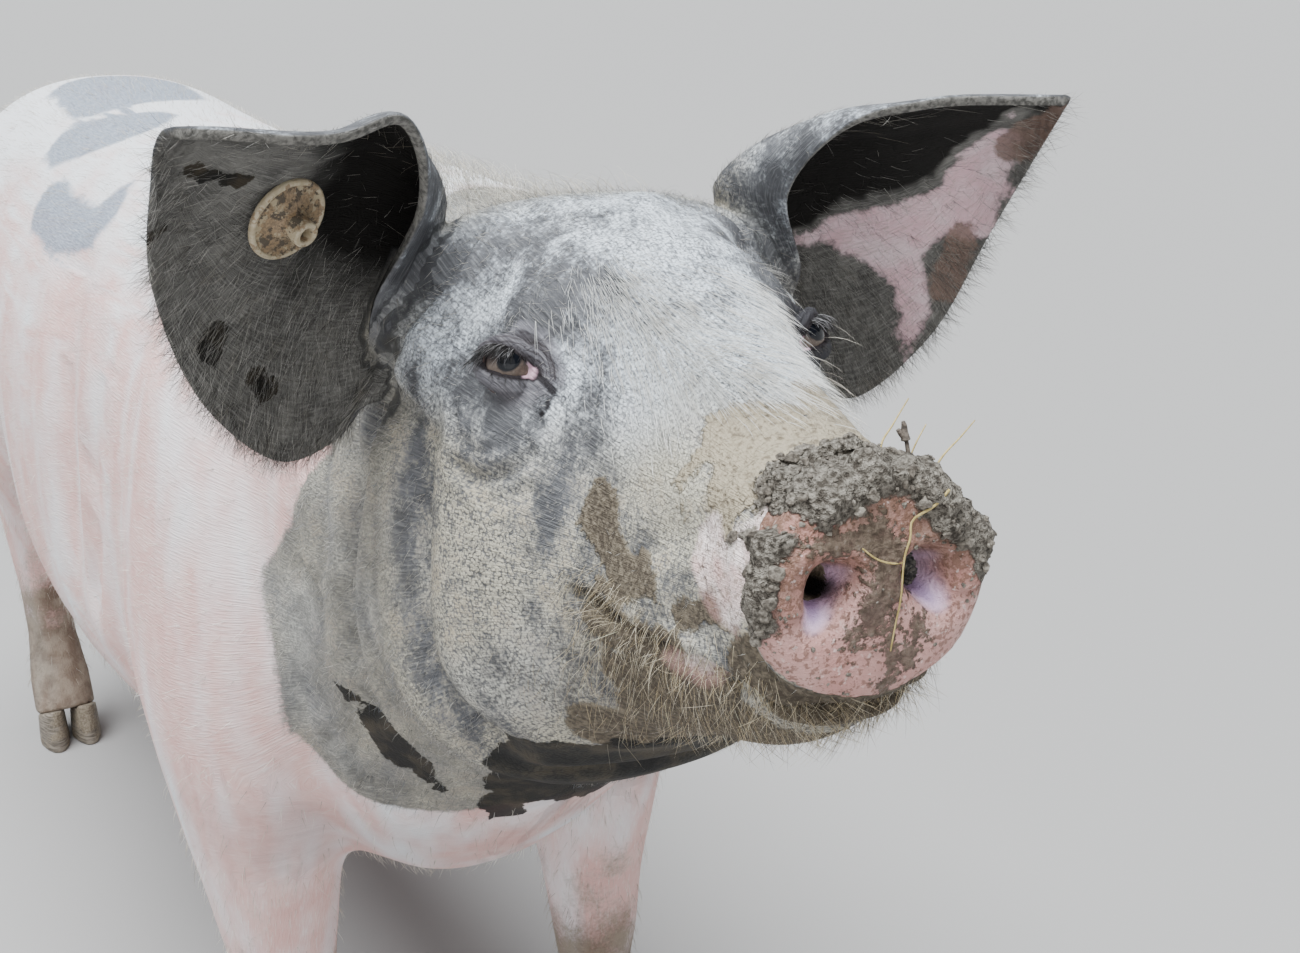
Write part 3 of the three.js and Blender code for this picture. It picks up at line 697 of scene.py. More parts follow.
def behind_collar(points):
    """Millimetres in front of the dark hide's rear edge."""
    degrees = np.degrees(np.arctan2(np.abs(points[:, 0] - COLLAR_AT[0]), points[:, 2] - COLLAR_AT[1]))
    table = np.array(COLLAR, float)
    return np.interp(degrees, table[:, 0], table[:, 1]) - points[:, 1] / MM


def ragged(points, size, amount, shift=0.0):
    """Smooth random numbers over the points, for an edge that isn't straight."""
    away = Vector((shift, shift, shift))
    return amount * np.array([noise.noise(place / size + away) for place in map(Vector, points)])


def blobs(where, spots):
    """Millimetres inside the nearest of some rounded lines, each a path and its radius."""
    return np.max([radius - near_path(where, path) for path, radius in spots], axis=0)


def inside_outline(across, up, outline):
    """Distance to a closed outline on a flat sheet, more than zero inside it."""
    flat = np.stack([across, up, 0 * up], 1)
    ends = np.array(outline, float)
    ends = np.concatenate([ends, ends[:1]])
    away = near_path(flat, [[x, y, 0] for x, y in ends])
    crossings = np.zeros(len(flat), int)
    for (ax, ay), (bx, by) in zip(ends[:-1], ends[1:]):
        spans = (ay > up) != (by > up)
        crossings += spans & (across < ax + (up - ay) * (bx - ax) / (by - ay if by != ay else 1e-9))
    return np.where(crossings % 2 == 1, away, -away)


collar = behind_collar(points) + ragged(points, 0.045, 7)
mark("collar", np.where(is_ear, 60, collar), -60, 60)

# %% Patches of damp and wet mud, and painted shade under the jaw
LEAF = [[55, -33], [49, -42], [47, -51], [55, -59], [66, -70], [76, -76], [90, -71], [103, -73], [100, -62],
        [86, -55], [79, -60], [73, -52], [69, -45], [65, -38]]
BRIDGE = [[-24, 101], [-10, 107], [2, 114], [8, 127], [8, 142], [0, 160], [-16, 158], [-27, 150], [-35, 140],
          [-40, 128], [-34, 122], [-29, 119], [-36, 106], [-37, 99], [-29, 106]]
DAMP = [
    ([[-51, 58, -84], [-42, 98, -96], [-34, 128, -104]], 10),
    ([[-50, 62, -73], [-44, 84, -82], [-42, 108, -84]], 5),
    ([[-40, 112, -74], [-38, 128, -70]], 6),
    ([[-34, 146, -86], [-20, 152, -96], [0, 156, -100], [20, 152, -96]], 13),
    ([[18, 104, -10], [16, 138, -20]], 12), ([[44, 70, -60], [40, 96, -74]], 8),
    ([[52, 30, -96], [40, 84, -104]], 10),
    ([[-30, 20, -140], [0, 60, -134], [0, 112, -122]], 26), ([[30, 20, -140], [20, 60, -134]], 24),
    ([[64, -20, -60], [70, -50, -84]], 7), ([[-46, 66, -106], [-38, 100, -113], [-28, 126, -117]], 14),
    ([[-38, 58, -122], [-28, 96, -126], [-16, 126, -122]], 13),
]
WET = [
    ([[-112, -180, -160], [-104, -176, -178]], 6), ([[-99, -170, -187], [-90, -172, -201]], 15),
    ([[-84, -172, -206], [-70, -178, -224]], 6),
    ([[-106, -178, -160], [-104, -176, -182]], 5),
    ([[-44, -80, -190], [-36, -110, -204], [-34, -150, -222], [-14, -164, -232], [20, -175, -240]], 20),
    ([[-40, -176, -236], [-30, -196, -254]], 11),
    ([[70, -60, -160], [92, -90, -150]], 9),
    ([[-164, -65, 23], [-168, -66, 14]], 4.5), ([[-146, -87, -5], [-150, -86, 4]], 5.5),
    ([[-185, -24, 60], [-186, -20, 50]], 4.5),
    ([[-172, -6, 84], [-164, -14, 82]], 4), ([[-160, -16, 80], [-154, -22, 80]], 3),
]
leaf = np.where(local[:, 0] < -30, inside_outline(local[:, 1], local[:, 2], LEAF), -20)
bridge = np.where(local[:, 2] > -75, inside_outline(local[:, 0], local[:, 1], BRIDGE), -20)
jagged = ragged(points, 0.010, 2.4) + ragged(points, 0.004, 1.6, 5)
damp = np.maximum(np.maximum(leaf, bridge), blobs(local, DAMP) + ragged(points, 0.016, 3.0, 22)) + jagged
soggy = smooth_step(np.maximum(leaf, blobs(local, DAMP[:4] + DAMP[5:8] + DAMP[-2:])), -4, 2)
mark("soggy", soggy)
# The whole underside of the jaw is marked wet: wet mud there, and painted shade of the jaw's underside.
wet_and_shade_under_jaw = np.interp(local[:, 1], [-82, -64, -34, 0, 30, 70],
                      [-190, -175, -152, -152, -148, -140]) - local[:, 2]
wet_and_shade_under_jaw = np.minimum(np.minimum(wet_and_shade_under_jaw, 80 - np.abs(local[:, 0])),
                       np.minimum(local[:, 1] + 84, 76 - local[:, 1]))
wet_mud_and_shade = np.maximum(blobs(local, WET), wet_and_shade_under_jaw) + ragged(points, 0.012, 5.0, 9) + ragged(points, 0.003, 2.2, 2)
mark("damp", np.where(is_ear, -20, damp))
mark("wet_mud_and_shade", wet_mud_and_shade)

# %% Bare pink skin at the snout, the lips and in the left ear
disc = to_disc(local)
rim = np.hypot(disc[:, 0] / (DISC["width"] / 2), disc[:, 1] / (DISC["height"] / 2))
on_disc = np.where(disc[:, 2] > -1, (1.06 - rim) * 38, -30)
on_disc = np.where((disc[:, 2] > 1) & (rim < 1.2), np.maximum(on_disc, 4), on_disc)
PALE = [
    ([[-36, 128, -50], [-38, 138, -64]], 12), ([[-36, 140, -54], [-38, 150, -62]], 8),
    ([[-32, 148, -46], [-24, 158, -36]], 7), ([[-40, 104, -91], [-36, 122, -93]], 6),
    ([[36, 140, -54], [38, 150, -62]], 9), ([[40, 104, -92], [36, 122, -93]], 6),
    ([[-24, 158, -36], [-14, 160, -29]], 5),
    ([[32, 148, -46], [24, 158, -36]], 7),
]
BAND = [[100, 40], [122, 54], [147, 59], [158, 66], [162, 80], [167, 89], [177, 84], [187, 60], [188, 46],
        [182, 36], [166, 42], [162, 32], [166, 18], [168, 2], [164, -22], [156, -14], [154, 6], [149, 20],
        [138, 33], [120, 42]]
pale = blobs(local, PALE) + ragged(points, 0.008, 2.5, 4)
in_ear = inside_outline(local[:, 0], local[:, 2], BAND)
in_ear = in_ear + ragged(points, 0.010, 4.0, 3) + ragged(points, 0.004, 1.5, 8)
in_left_ear = hollow & (local[:, 0] > 0)
pale = np.where(is_ear, np.where(in_left_ear, in_ear, -20), pale)
mark("disc", on_disc)
mark("pale", pale)

# %% Mud on the snout's disc
CAKE_THIN, CAKE_LUMPS = 0.8, 5.2
CAKE = [[-27, 60], [-27, 23], [-20, 17], [-11, 19], [-1, 24], [8, 24], [15, 15], [23, 6], [31, 4], [35, -8],
        [60, -8], [60, 60]]
CAKE_LEFT = [[-27, 16], [-33, 8], [-34, -2], [-33, -10], [-38, -16], [-60, -14], [-60, 12], [-36, 22]]
SMEAR = [
    ([[-4, 14, 0], [1, 6, 0], [0, -4, 0], [-3, -12, 0]], 7), ([[12, 6, 0], [12, -4, 0]], 3),
    ([[3, -20, 0], [4, -31, 0]], 3.5), ([[-12, 12, 0], [-22, 12, 0]], 4),
    ([[11, -14, 0], [11, -26, 0]], 3.5), ([[-9, -15, 0], [-9, -19, 0]], 3.5),
]
cake = np.maximum(inside_outline(disc[:, 0], disc[:, 1], CAKE),
                  inside_outline(disc[:, 0], disc[:, 1], CAKE_LEFT))
behind_face = np.where((disc[:, 0] < -24) & (disc[:, 1] < 15), 2.5, 12)
cake = np.minimum(cake, disc[:, 2] + behind_face)
cake = cake + ragged(points, 0.008, 2.0, 11) + ragged(points, 0.003, 1.4, 12)
smear = blobs(disc * (1, 1, 0), SMEAR) + ragged(points, 0.006, 4.5, 13)
mark("tan", 0.25 + 0.75 * smooth_step(disc[:, 1] + 0.25 * np.abs(disc[:, 0]), -9, 12))
smear = np.where(on_disc > 0, np.maximum(smear, cake - 1), -20)
mark("smear", smear)
by_snout = np.flatnonzero(local[:, 1] > 100)
cake = np.where(local[:, 1] > 100, cake, -20)
mark("cake", cake)
lumps = np.zeros(len(points))
lumps[by_snout] = (0.5 + ragged(points[by_snout], 0.009, 0.75, 14)
                   + ragged(points[by_snout], 0.0042, 0.55, 15)
                   + ragged(points[by_snout], 0.002, 0.30, 16))
thickness = smooth_step(cake, 0, 5) * (CAKE_THIN + CAKE_LUMPS * np.clip(lumps, 0, 1.4))
thickness *= 0.55 + 0.45 * smooth_step(disc[:, 1], 0, 24)
set_points(skin.data, points + normals * thickness[:, None] * MM)
print("mud on the snout, mm:", round(float(thickness.max()), 1))

# %% Dark patches on the back and rump
RUMP = [  # row millimetres: side, along, up
    ([[-78, 250, 680], [-30, 200, 690]], 38), ([[-110, 190, 636], [-118, 80, 622]], 26),
    ([[-108, 30, 640], [-92, 52, 660]], 20),
    ([[10, 420, 715], [0, 330, 712]], 60), ([[90, 120, 672], [120, 180, 640]], 34),
    ([[130, 420, 600], [110, 520, 610]], 48),
    ([[-120, 480, 610], [-96, 560, 600]], 52), ([[0, 600, 640], [0, 640, 560]], 50),
    ([[60, -60, 690], [90, 0, 668]], 22),
]
rump = blobs(points / MM, RUMP) + ragged(points, 0.06, 16, 1)
mark("rump", rump, -40, 40)

# %% How thick the dry film lies, with painted shade in the folds and under the ears
level = points[:, 2]
FILM = [  # how much more film, how far from its line, and the line's places on either side of the head
    (0.25, 46, [[4, 0, 52]]), (0.30, 45, [[15, 80, 5]]), (-0.45, 30, [[66, 10, 2]]),
    (0.22, 40, [[82, -6, -85]]),
    (-0.50, 18, [[74, -58, 44], [56, -42, 52], [46, -20, 50], [42, 8, 32]]),
    (-0.22, 15, [[58, 38, -40], [60, 38, -78], [58, 34, -100]]), (-0.2, 14, [[44, 52, -20], [37, 74, -20]]),
    (0.45, 18, [[36, 80, -20], [34, 110, -34]]),
    # Painted shade: less film in the fold between cheek and neck, so the dark hide shows there.
    (-0.36, 11, [[92, -56, -22], [96, -56, -59], [99, -59, -91], [97, -57, -122], [84, -50, -148]]),
]
film = 0.60 - 0.20 * smooth_step(local[:, 1], -70, -140)
for more, reach, path in FILM:
    film += more * bump(near_path(face, path), reach)
film -= 0.22 * bump(near_path(local, [[-33, 17, 32], [-24, 30, 26], [-18, 52, 14]]), 15)
film = np.where(is_ear, np.where(local[:, 0] > 0, 0.26, 0.12), film)
upright = local * (0.001, 0.001, 0.00035)
film += ((ragged(points, 0.03, 0.16, 7) + ragged(points, 0.010, 0.22, 17))
         * smooth_step(local[:, 1], -120, -60)
         + ragged(upright, 0.014, 0.32, 23))
film -= 0.30 * bump(from_eye(local) - 8, 20) * (local[:, 2] > -40)
# Painted shade under the ear's front edge, where it meets the head: less film, so the dark hide shows.
painted_shade_under_ear = bump(near_path(face, [[105, -98, -24], [104, -82, 8], [98, -66, 30], [84, -44, 62]]), 15)
film -= 0.45 * painted_shade_under_ear * (1 - is_ear)
mark("film", film, 0, 1)
calm = np.maximum(smooth_step(local[:, 1], -50, -85),
                  bump(near_path(face, [[36, 78, -22], [34, 104, -36]]), 19))
mark("calm", calm * (1 - is_ear))
cool = smooth_step(face[:, 2], -40, 10) * smooth_step(face[:, 1], -90, -40) + ragged(points, 0.05, 0.5, 18)
mark("cool", cool, 0, 1)
mud = smooth_step(level, 0.30, 0.05) + ragged(points, 0.03, 0.35, 6) * smooth_step(level, 0.42, 0.28)
mark("mud", mud, 0, 1)

# %% Chalky streaks on the body
chalk = (0.9 * smooth_step(level, 0.56, 0.69) + 0.25 + ragged(points * (1, 1, 0.22), 0.034, 0.9, 19)
         + ragged(points * (1, 1, 0.2), 0.012, 0.5, 20))
mark("chalk", chalk, 0, 1)

# %% The eye's surroundings and the painted shade deep in the ears
along, up, reach, out = on_slit(local)
inside, upper = slit_opening(along, up)
by_lid = np.where(out > 0, np.clip(inside - 0.8 * np.maximum(reach - 16.5, 0), -20, 20), -20)
mark("slit", by_lid)
pink_corner = smooth_step(along, 6.0, 7.5) * (inside > -1.2) * (1 - smooth_step(reach, 14.5, 17))
mark("corner", np.where(out > 0, pink_corner, 0))
past = np.maximum(np.maximum(12.5 - along, along - 17), 0)
tear = np.where(out > 0, 1.5 - np.hypot(past, up + 0.4), -5)
LINE_OF_FACE = np.array([0.27, 0.96, 0.07])


def flattened(where):
    """Places laid on a sheet across the face, so a line on them is drawn however the skin bulges."""
    where = np.asarray(where, float)
    return where - (where @ LINE_OF_FACE)[:, None] * LINE_OF_FACE


on_face = flattened(face)
tear = np.maximum(tear, 1.6 - near_path(on_face, flattened([[54.5, 12, -0.5], [52.3, 24.5, -5.4]])))
below_corner = flattened([[52.3, 24.5, -5.4], [54, 22, -10], [56.5, 19, -14]])
tear = np.maximum(tear, 1.5 - near_path(on_face, below_corner))
tear = np.where((from_eye(local) < 40) & (local[:, 1] > 0), tear, -5)
mark("tear", tear, -5, 5)
mark("above", smooth_step(up, -1, 2))
# Painted shade in the far (left) eye's socket: the skin round that eye is darkened.
mark("painted_socket_shade", np.where(local[:, 0] > 0, 1 - smooth_step(from_eye(local), 17, 27), 0))
# Painted shade in the mouth's line between the lips.
mark("mouth", MOUTH_WIDTH - near_path(mirrored(local), MOUTH_LINE), -5, 5)
# Painted shade in the ears: black in the canal, darker under the rolled rim of the front edge, and dark high
# in the far ear's hollow outside its pink band.
deep = np.where(local[:, 0] > 0, 0, 0.14)
in_canal = 1 - smooth_step(on_ear[:, 0], 0.34 + deep, 0.58 + deep)
in_canal *= 1 - smooth_step(on_ear[:, 1], 0.50, 0.85)
top_band = bump(on_ear[:, 1] - 0.16, 0.12) * smooth_step(on_ear[:, 0], 0.3, 0.5)
far_dark = smooth_step(in_ear, -2, -8) * (local[:, 2] > 40) * (local[:, 0] > 0)
shade = np.clip(in_canal + 0.35 * top_band + 0.9 * far_dark + ragged(points, 0.02, 0.25, 21), 0, 1)
rim_band = (hollow * bump(on_ear[:, 1] - 0.02, np.where(local[:, 0] > 0, 0.075, 0.045))
            * smooth_step(on_ear[:, 0], 0.2, 0.34))
mark("rim_band", rim_band)
brown = (blobs(local, [([[174, -46, 38], [173, -60, 16]], 10), ([[180, -10, 80], [184, 18, 92]], 10)])
         + ragged(points, 0.008, 4, 24))
mark("ear_brown", np.where(in_left_ear, brown, -9), -9, 9)
mark("ear_shade", np.where(hollow, shade * (1 - rim_band), 0))
mark("ear_inside", hollow.astype(float))
slope, hole = by_nostril(disc[:, 0], disc[:, 1])
front = smooth_step(disc[:, 2], -25, -5)
mark("nostril", slope * front)
# Painted shade: the nostrils' holes are drawn black.
mark("hole", smooth_step(hole, 0.25, 0.75) * front)

# %% The lie of the coat
# Hair lies backwards from the nose, so a place round the body and a place along it give streaks their
# direction.
BODY_MIDDLE_UP, LEG_ASIDE, FORELEG_AT, HINDLEG_AT = 0.47, 0.105, -0.21, 0.60


def leg_middle(points):
    """How far along the body the middle of the nearest pair of legs is."""
    return np.where(points[:, 1] < 0.1, FORELEG_AT, HINDLEG_AT)


def grain_of(points, local, on_ear, is_ear):
    across = np.arctan2(points[:, 0] - COLLAR_AT[0], points[:, 2] - BODY_MIDDLE_UP) * 150
    back = points[:, 1] / MM
    in_head = smooth_step(local[:, 1], -230, -90)
    head_across = np.arctan2(local[:, 0], local[:, 2] + 80) * 95
    leg = smooth_step(points[:, 2], 0.36, 0.28)
    u = across * (1 - in_head) + head_across * in_head
    v = back * (1 - in_head) - local[:, 1] * in_head
    aside = points[:, 0] - np.sign(points[:, 0]) * LEG_ASIDE
    around = np.arctan2(aside, leg_middle(points) - points[:, 1]) * 45
    u = u * (1 - leg) + around * leg
    v = v * (1 - leg) - points[:, 2] / MM * leg
    u = np.where(is_ear, on_ear[:, 1] * 200 + 500, u)
    v = np.where(is_ear, on_ear[:, 0] * 240, v)
    return np.stack([u, v, 0 * u], 1)


set_vectors(skin.data, "grain", grain_of(points, local, on_ear, is_ear))

# %% [markdown]
# ## Shader maths
# A material is a chain of sums on noise and markings. This small class wraps one output of a node, so that
# a sum written in Python adds its nodes, and one method adds any other node.

# %% Sockets and sheets


class Socket:
    """One output of a node, on which Python's arithmetic adds nodes."""

    def __init__(self, sheet, socket):
        self.sheet, self.socket = sheet, socket

    def maths(self, operation, *values):
        return self.sheet.node("ShaderNodeMath", {"operation": operation}, dict(enumerate(values)))

    def __abs__(self):
        return self.maths("ABSOLUTE", self)

    def __add__(self, other):
        return self.maths("ADD", self, other)

    def __sub__(self, other):
        return self.maths("SUBTRACT", self, other)

    def __rsub__(self, other):
        return self.maths("SUBTRACT", other, self)

    def __mul__(self, other):
        return self.maths("MULTIPLY", self, other)

    def __pow__(self, other):
        return self.maths("POWER", self, other)

    __radd__, __rmul__ = __add__, __mul__

    def least(self, other):
        return self.maths("MINIMUM", self, other)

    def step(self, low, high):
        """0 below low, 1 above high, and smooth between."""
        return self.sheet.node("ShaderNodeMapRange", {"interpolation_type": "SMOOTHSTEP"},
                               {"Value": self, "From Min": low, "From Max": high})

    def tones(self, low, high, one, other):
        """One colour where this is below low and another above high."""
        return self.sheet.mix(self.step(low, high), one, other)


class Sheet:
    """A material and its node tree."""

    def __init__(self, name):
        self.material = bpy.data.materials.new(name)
        self.material.use_nodes = True
        self.tree = self.material.node_tree
        self.surface = self.tree.nodes["Principled BSDF"]
        self.place = self.node("ShaderNodeTexCoord", out="Object")

    def node(self, kind, settings=None, inputs=None, out=0):
        made = self.tree.nodes.new(kind)
        for key, value in (settings or {}).items():
            setattr(made, key, value)
        for key, value in (inputs or {}).items():
            self.join(value, made.inputs[key])
        return Socket(self, made.outputs[out])

    def join(self, value, entry):
        if isinstance(value, Socket):
            self.tree.links.new(value.socket, entry)
        elif isinstance(value, (tuple, list)) and len(entry.default_value) == 4:
            entry.default_value = (*value[:3], 1)
        else:
            entry.default_value = value

    def marking(self, name, out="Fac"):
        return self.node("ShaderNodeAttribute", {"attribute_name": name}, out=out)

    def noise(self, scale, detail=3, roughness=0.5, at=None):
        inputs = {"Vector": at or self.place, "Scale": scale, "Detail": detail, "Roughness": roughness}
        return self.node("ShaderNodeTexNoise", None, inputs)

    def cells(self, scale):
        """How far the middle of the nearest cell is."""
        inputs = {"Vector": self.place, "Scale": scale}
        return self.node("ShaderNodeTexVoronoi", {"feature": "F1"}, inputs, out="Distance")

    def stretch(self, vector, factors):
        return self.node("ShaderNodeVectorMath", {"operation": "MULTIPLY"}, {0: vector, 1: factors})

    def mix(self, share, a, b, kind="MIX"):
        settings = {"data_type": "RGBA", "blend_type": kind}
        return self.node("ShaderNodeMix", settings, {0: share, 6: a, 7: b}, out=2)

    def bump(self, height, distance, strength):
        inputs = {"Height": height, "Distance": distance, "Strength": strength}
        return self.node("ShaderNodeBump", None, inputs)

    def finish(self, **inputs):
        for name, value in inputs.items():
            self.join(value, self.surface.inputs[name.replace("_", " ")])
        return self.material


# %% [markdown]
# ## The hide's material
# Under everything is blue-grey or pink skin with fine hair. Over it lies a film of dried mud that has
# cracked into scales about a millimetre wide, thin on the folds and under the ears, where the dark hide
# shows through as painted shade, and thick on the forehead and cheeks. Damp patches are browner and wet ones
# nearly black; under the jaw that near-black is also painted shade. More shade is painted in the lids'
# creases, round the far eye, in the mouth's line, in the ears' hollows and in the nostrils' holes, with a
# painted highlight on the upper lids' ridges. Body, head, snout and ears share the same few noises, but each
# part's faces get a material with only the layers found there, because a long chain of nodes is slow to
# render.

# %% Layers of the hide: body and head


def body_layer(sheet, hair, middle, grit):
    pink = middle.tones(0.3, 0.75, (0.70, 0.425, 0.395), (0.76, 0.535, 0.50))
    chalk = (sheet.marking("chalk") + (hair - 0.5) * 0.4).least(1)
    colour = sheet.mix(chalk * 0.92, pink, (0.79, 0.825, 0.86))
    colour = sheet.mix(hair.step(0.52, 0.75) * 0.35, colour, (0.84, 0.80, 0.76))
    patch = (sheet.marking("rump") + (middle - 0.5) * 14 + (hair - 0.5) * 8).step(-5, 5)
    colour = sheet.mix(patch * 0.9, colour, hair.tones(0.3, 0.8, (0.18, 0.215, 0.28), (0.34, 0.38, 0.45)))
    boots = (sheet.marking("mud") + (middle - 0.5) * 0.6 + (grit - 0.5) * 0.3).step(0.25, 0.7)
    clay = middle.tones(0.35, 0.65, (0.125, 0.096, 0.064), (0.24, 0.20, 0.148))
    return sheet.mix(boots * 0.9, colour, clay), (hair - 0.5) * 1.2 + boots * grit * 1.5


SCALES_PER_METRE = 780


def head_layer(sheet, hair, middle, grit):
    film, cool = sheet.marking("film"), sheet.marking("cool")
    scales = sheet.cells(SCALES_PER_METRE)
    crack = 1 - scales.step(0.42, 0.80)
    wide_crack = abs(middle - 0.5).step(0.0, 0.014)
    dark = middle.tones(0.3, 0.7, (0.068, 0.068, 0.074), (0.135, 0.137, 0.148))
    dark = sheet.mix(hair.step(0.45, 0.75) * 0.45, dark, (0.28, 0.285, 0.29))
    earth = sheet.mix(middle.step(0.50, 0.66) * 0.5, (0.56, 0.52, 0.415), (0.38, 0.305, 0.21))
    dust = sheet.mix(cool * 0.95, earth, (0.72, 0.785, 0.865))
    cover = (film + (middle - 0.5) * 1.3 + (grit - 0.5) * 1.05).step(0.08, 0.92)
    cover = cover * (1 - (1 - crack) * (1 - cool * 0.25) * 0.85) * (wide_crack * 0.7 + 0.3)
    cover = cover * ((hair - 0.5) * 1.9 + 0.97)
    cover = sheet.node("ShaderNodeMix", None, {0: sheet.marking("calm") * 0.6, 2: cover,
                                               3: (hair - 0.5) * 0.8 + film * 0.7 + 0.13})
    lid = sheet.marking("slit").step(-15, -6)
    colour = sheet.mix(cover * (1 - lid * 0.6), dark, dust)
    lilac = hair.tones(0.3, 0.7, (0.060, 0.054, 0.064), (0.19, 0.178, 0.195))
    colour = sheet.mix(lid * 0.65, colour, lilac)
    return colour, crack * film * 0.5 + (grit - 0.5) * 0.5 + (hair - 0.5) * 0.9 + wide_crack * 0.25


# %% Layers of the hide: eye, damp and wet mud, with painted shade and highlight round eyes, mouth and jaw


def eye_layer(sheet, colour, middle):
    slit = sheet.marking("slit")
    # Painted shade in the lines between the upper lid's wrinkles.
    waves = sheet.node("ShaderNodeMath", {"operation": "SINE"}, {0: (slit + (middle - 0.5) * 7) * 3.1})
    wrinkle_shade = waves.step(0.15, 0.9)
    fade = slit.step(-10.5, -8) * (1 - slit.step(-2.2, -1.2)) * sheet.marking("above")
    above = sheet.marking("above")
    # Paler skin on the ridge of the upper lid's fold, lightened further as a painted highlight.
    ridge = slit.step(-14, -11.5) * (1 - slit.step(-10, -8.5)) * above
    colour = sheet.mix(ridge * 0.45, colour, (0.25, 0.245, 0.275))
    # Painted shade in the crease of the upper lid's fold.
    groove_shade = slit.step(-9, -7.8) * (1 - slit.step(-6.8, -5.5)) * above
    colour = sheet.mix((groove_shade * 0.6 + wrinkle_shade * fade * 0.65).least(0.85), colour, (0.030, 0.024, 0.026))
    # Painted shade in the far eye's socket.
    colour = sheet.mix(sheet.marking("painted_socket_shade") * 0.94, colour, (0.030, 0.029, 0.033))
    colour = sheet.mix(sheet.marking("tear").step(-0.3, 0.9) * 0.94, colour, (0.012, 0.010, 0.012))
    colour = sheet.mix(slit.step(sheet.marking("above") * -2.4 - 1.6, -0.4), colour, (0.018, 0.014, 0.016))
    return sheet.mix(sheet.marking("corner") * slit.step(-0.6, 0.3), colour, (0.60, 0.38, 0.46))


def mud_layers_and_mouth_shade(sheet, middle, grit, colour):
    moist = (sheet.marking("damp") + (grit - 0.5) * 6).step(-0.6, 1.2)
    loam = grit.tones(0.30, 0.52, (0.20, 0.162, 0.112), (0.375, 0.318, 0.228))
    loam = sheet.mix(sheet.marking("soggy") * 0.95, loam,
                     grit.tones(0.4, 0.7, (0.062, 0.047, 0.033), (0.170, 0.138, 0.099)))
    colour = sheet.mix(moist * 0.94, colour, loam)
    # Painted shade in the mouth's line between the lips.
    colour = sheet.mix(sheet.marking("mouth").step(-0.5, 1.6) * 0.85, colour, (0.030, 0.024, 0.022))
    # Near-black wet mud; under the jaw it is also painted shade.
    soaked_and_shaded = (sheet.marking("wet_mud_and_shade") + (grit - 0.5) * 5).step(-0.5, 0.8)
    wet_mud_and_shade = middle.tones(0.42, 0.66, (0.0035, 0.003, 0.0025), (0.034, 0.026, 0.016))
    return sheet.mix(soaked_and_shaded * 0.96, colour, wet_mud_and_shade), moist, soaked_and_shaded


# %% Layers of the hide: snout


def snout_layer(sheet, middle, grit, colour, relief):
    speck = sheet.noise(480, 3, 0.65)
    bare = (sheet.marking("pale") + (grit - 0.5) * 5 + (middle - 0.5) * 6).step(-1.5, 3.0)
    rosy = middle.tones(0.3, 0.6, (0.70, 0.48, 0.45), (0.90, 0.79, 0.76))
    rosy = sheet.mix(sheet.marking("soggy") * 0.9, rosy, (0.27, 0.145, 0.12))
    rosy = sheet.mix(speck.step(0.50, 0.60) * 0.55, rosy, (0.24, 0.16, 0.115))
    colour = sheet.mix(bare, colour, rosy)
    disc = (sheet.marking("disc") + (middle - 0.5) * 3).step(-1, 3)
    flesh = middle.tones(0.3, 0.7, (0.46, 0.22, 0.19), (0.66, 0.41, 0.38))
    flesh = sheet.mix((1 - sheet.marking("tan").step(0.3, 0.7)) * 0.35, flesh, (0.82, 0.46, 0.43))
    flesh = sheet.mix(sheet.marking("tan") * (middle.step(0.25, 0.6) * 0.5 + 0.30), flesh,
                      (0.20, 0.120, 0.083))
    flesh = sheet.mix((speck + (sheet.marking("tan") - 0.4) * 0.09).step(0.49, 0.58) * 0.66, flesh,
                      (0.155, 0.080, 0.052))
    flesh = sheet.mix(grit.step(0.62, 0.70) * 0.5, flesh, (0.80, 0.64, 0.61))
    slope = sheet.marking("nostril")
    flesh = sheet.mix(slope.step(0.25, 0.8), flesh,
                      slope.tones(0.7, 1.0, (0.76, 0.55, 0.74), (0.56, 0.40, 0.64)))
    smear = (sheet.marking("smear") + (speck - 0.5) * 16 + (grit - 0.5) * 5).step(-1.0, 1.5)
    silt = grit.tones(0.35, 0.65, (0.052, 0.040, 0.028), (0.140, 0.112, 0.083))
    flesh = sheet.mix(smear * 0.88, flesh, silt)
    colour = sheet.mix(disc, colour, flesh)
    caked = (sheet.marking("cake") + (grit - 0.5) * 3).step(-0.6, 0.8)
    crumbly = sheet.mix((speck * 0.6 + grit * 0.4).step(0.38, 0.64), (0.060, 0.050, 0.040),
                        (0.30, 0.272, 0.232))
    colour = sheet.mix(caked, colour, crumbly)
    # Painted shade in the nostrils' holes.
    colour = sheet.mix(sheet.marking("hole"), colour, (0.004, 0.003, 0.004))
    relief = relief * (1 - disc * 0.7) + (disc + caked * 3) * speck * 1.3 + smear * grit
    return colour, relief, disc * (1 - caked)


# %% Layers of the hide: ears


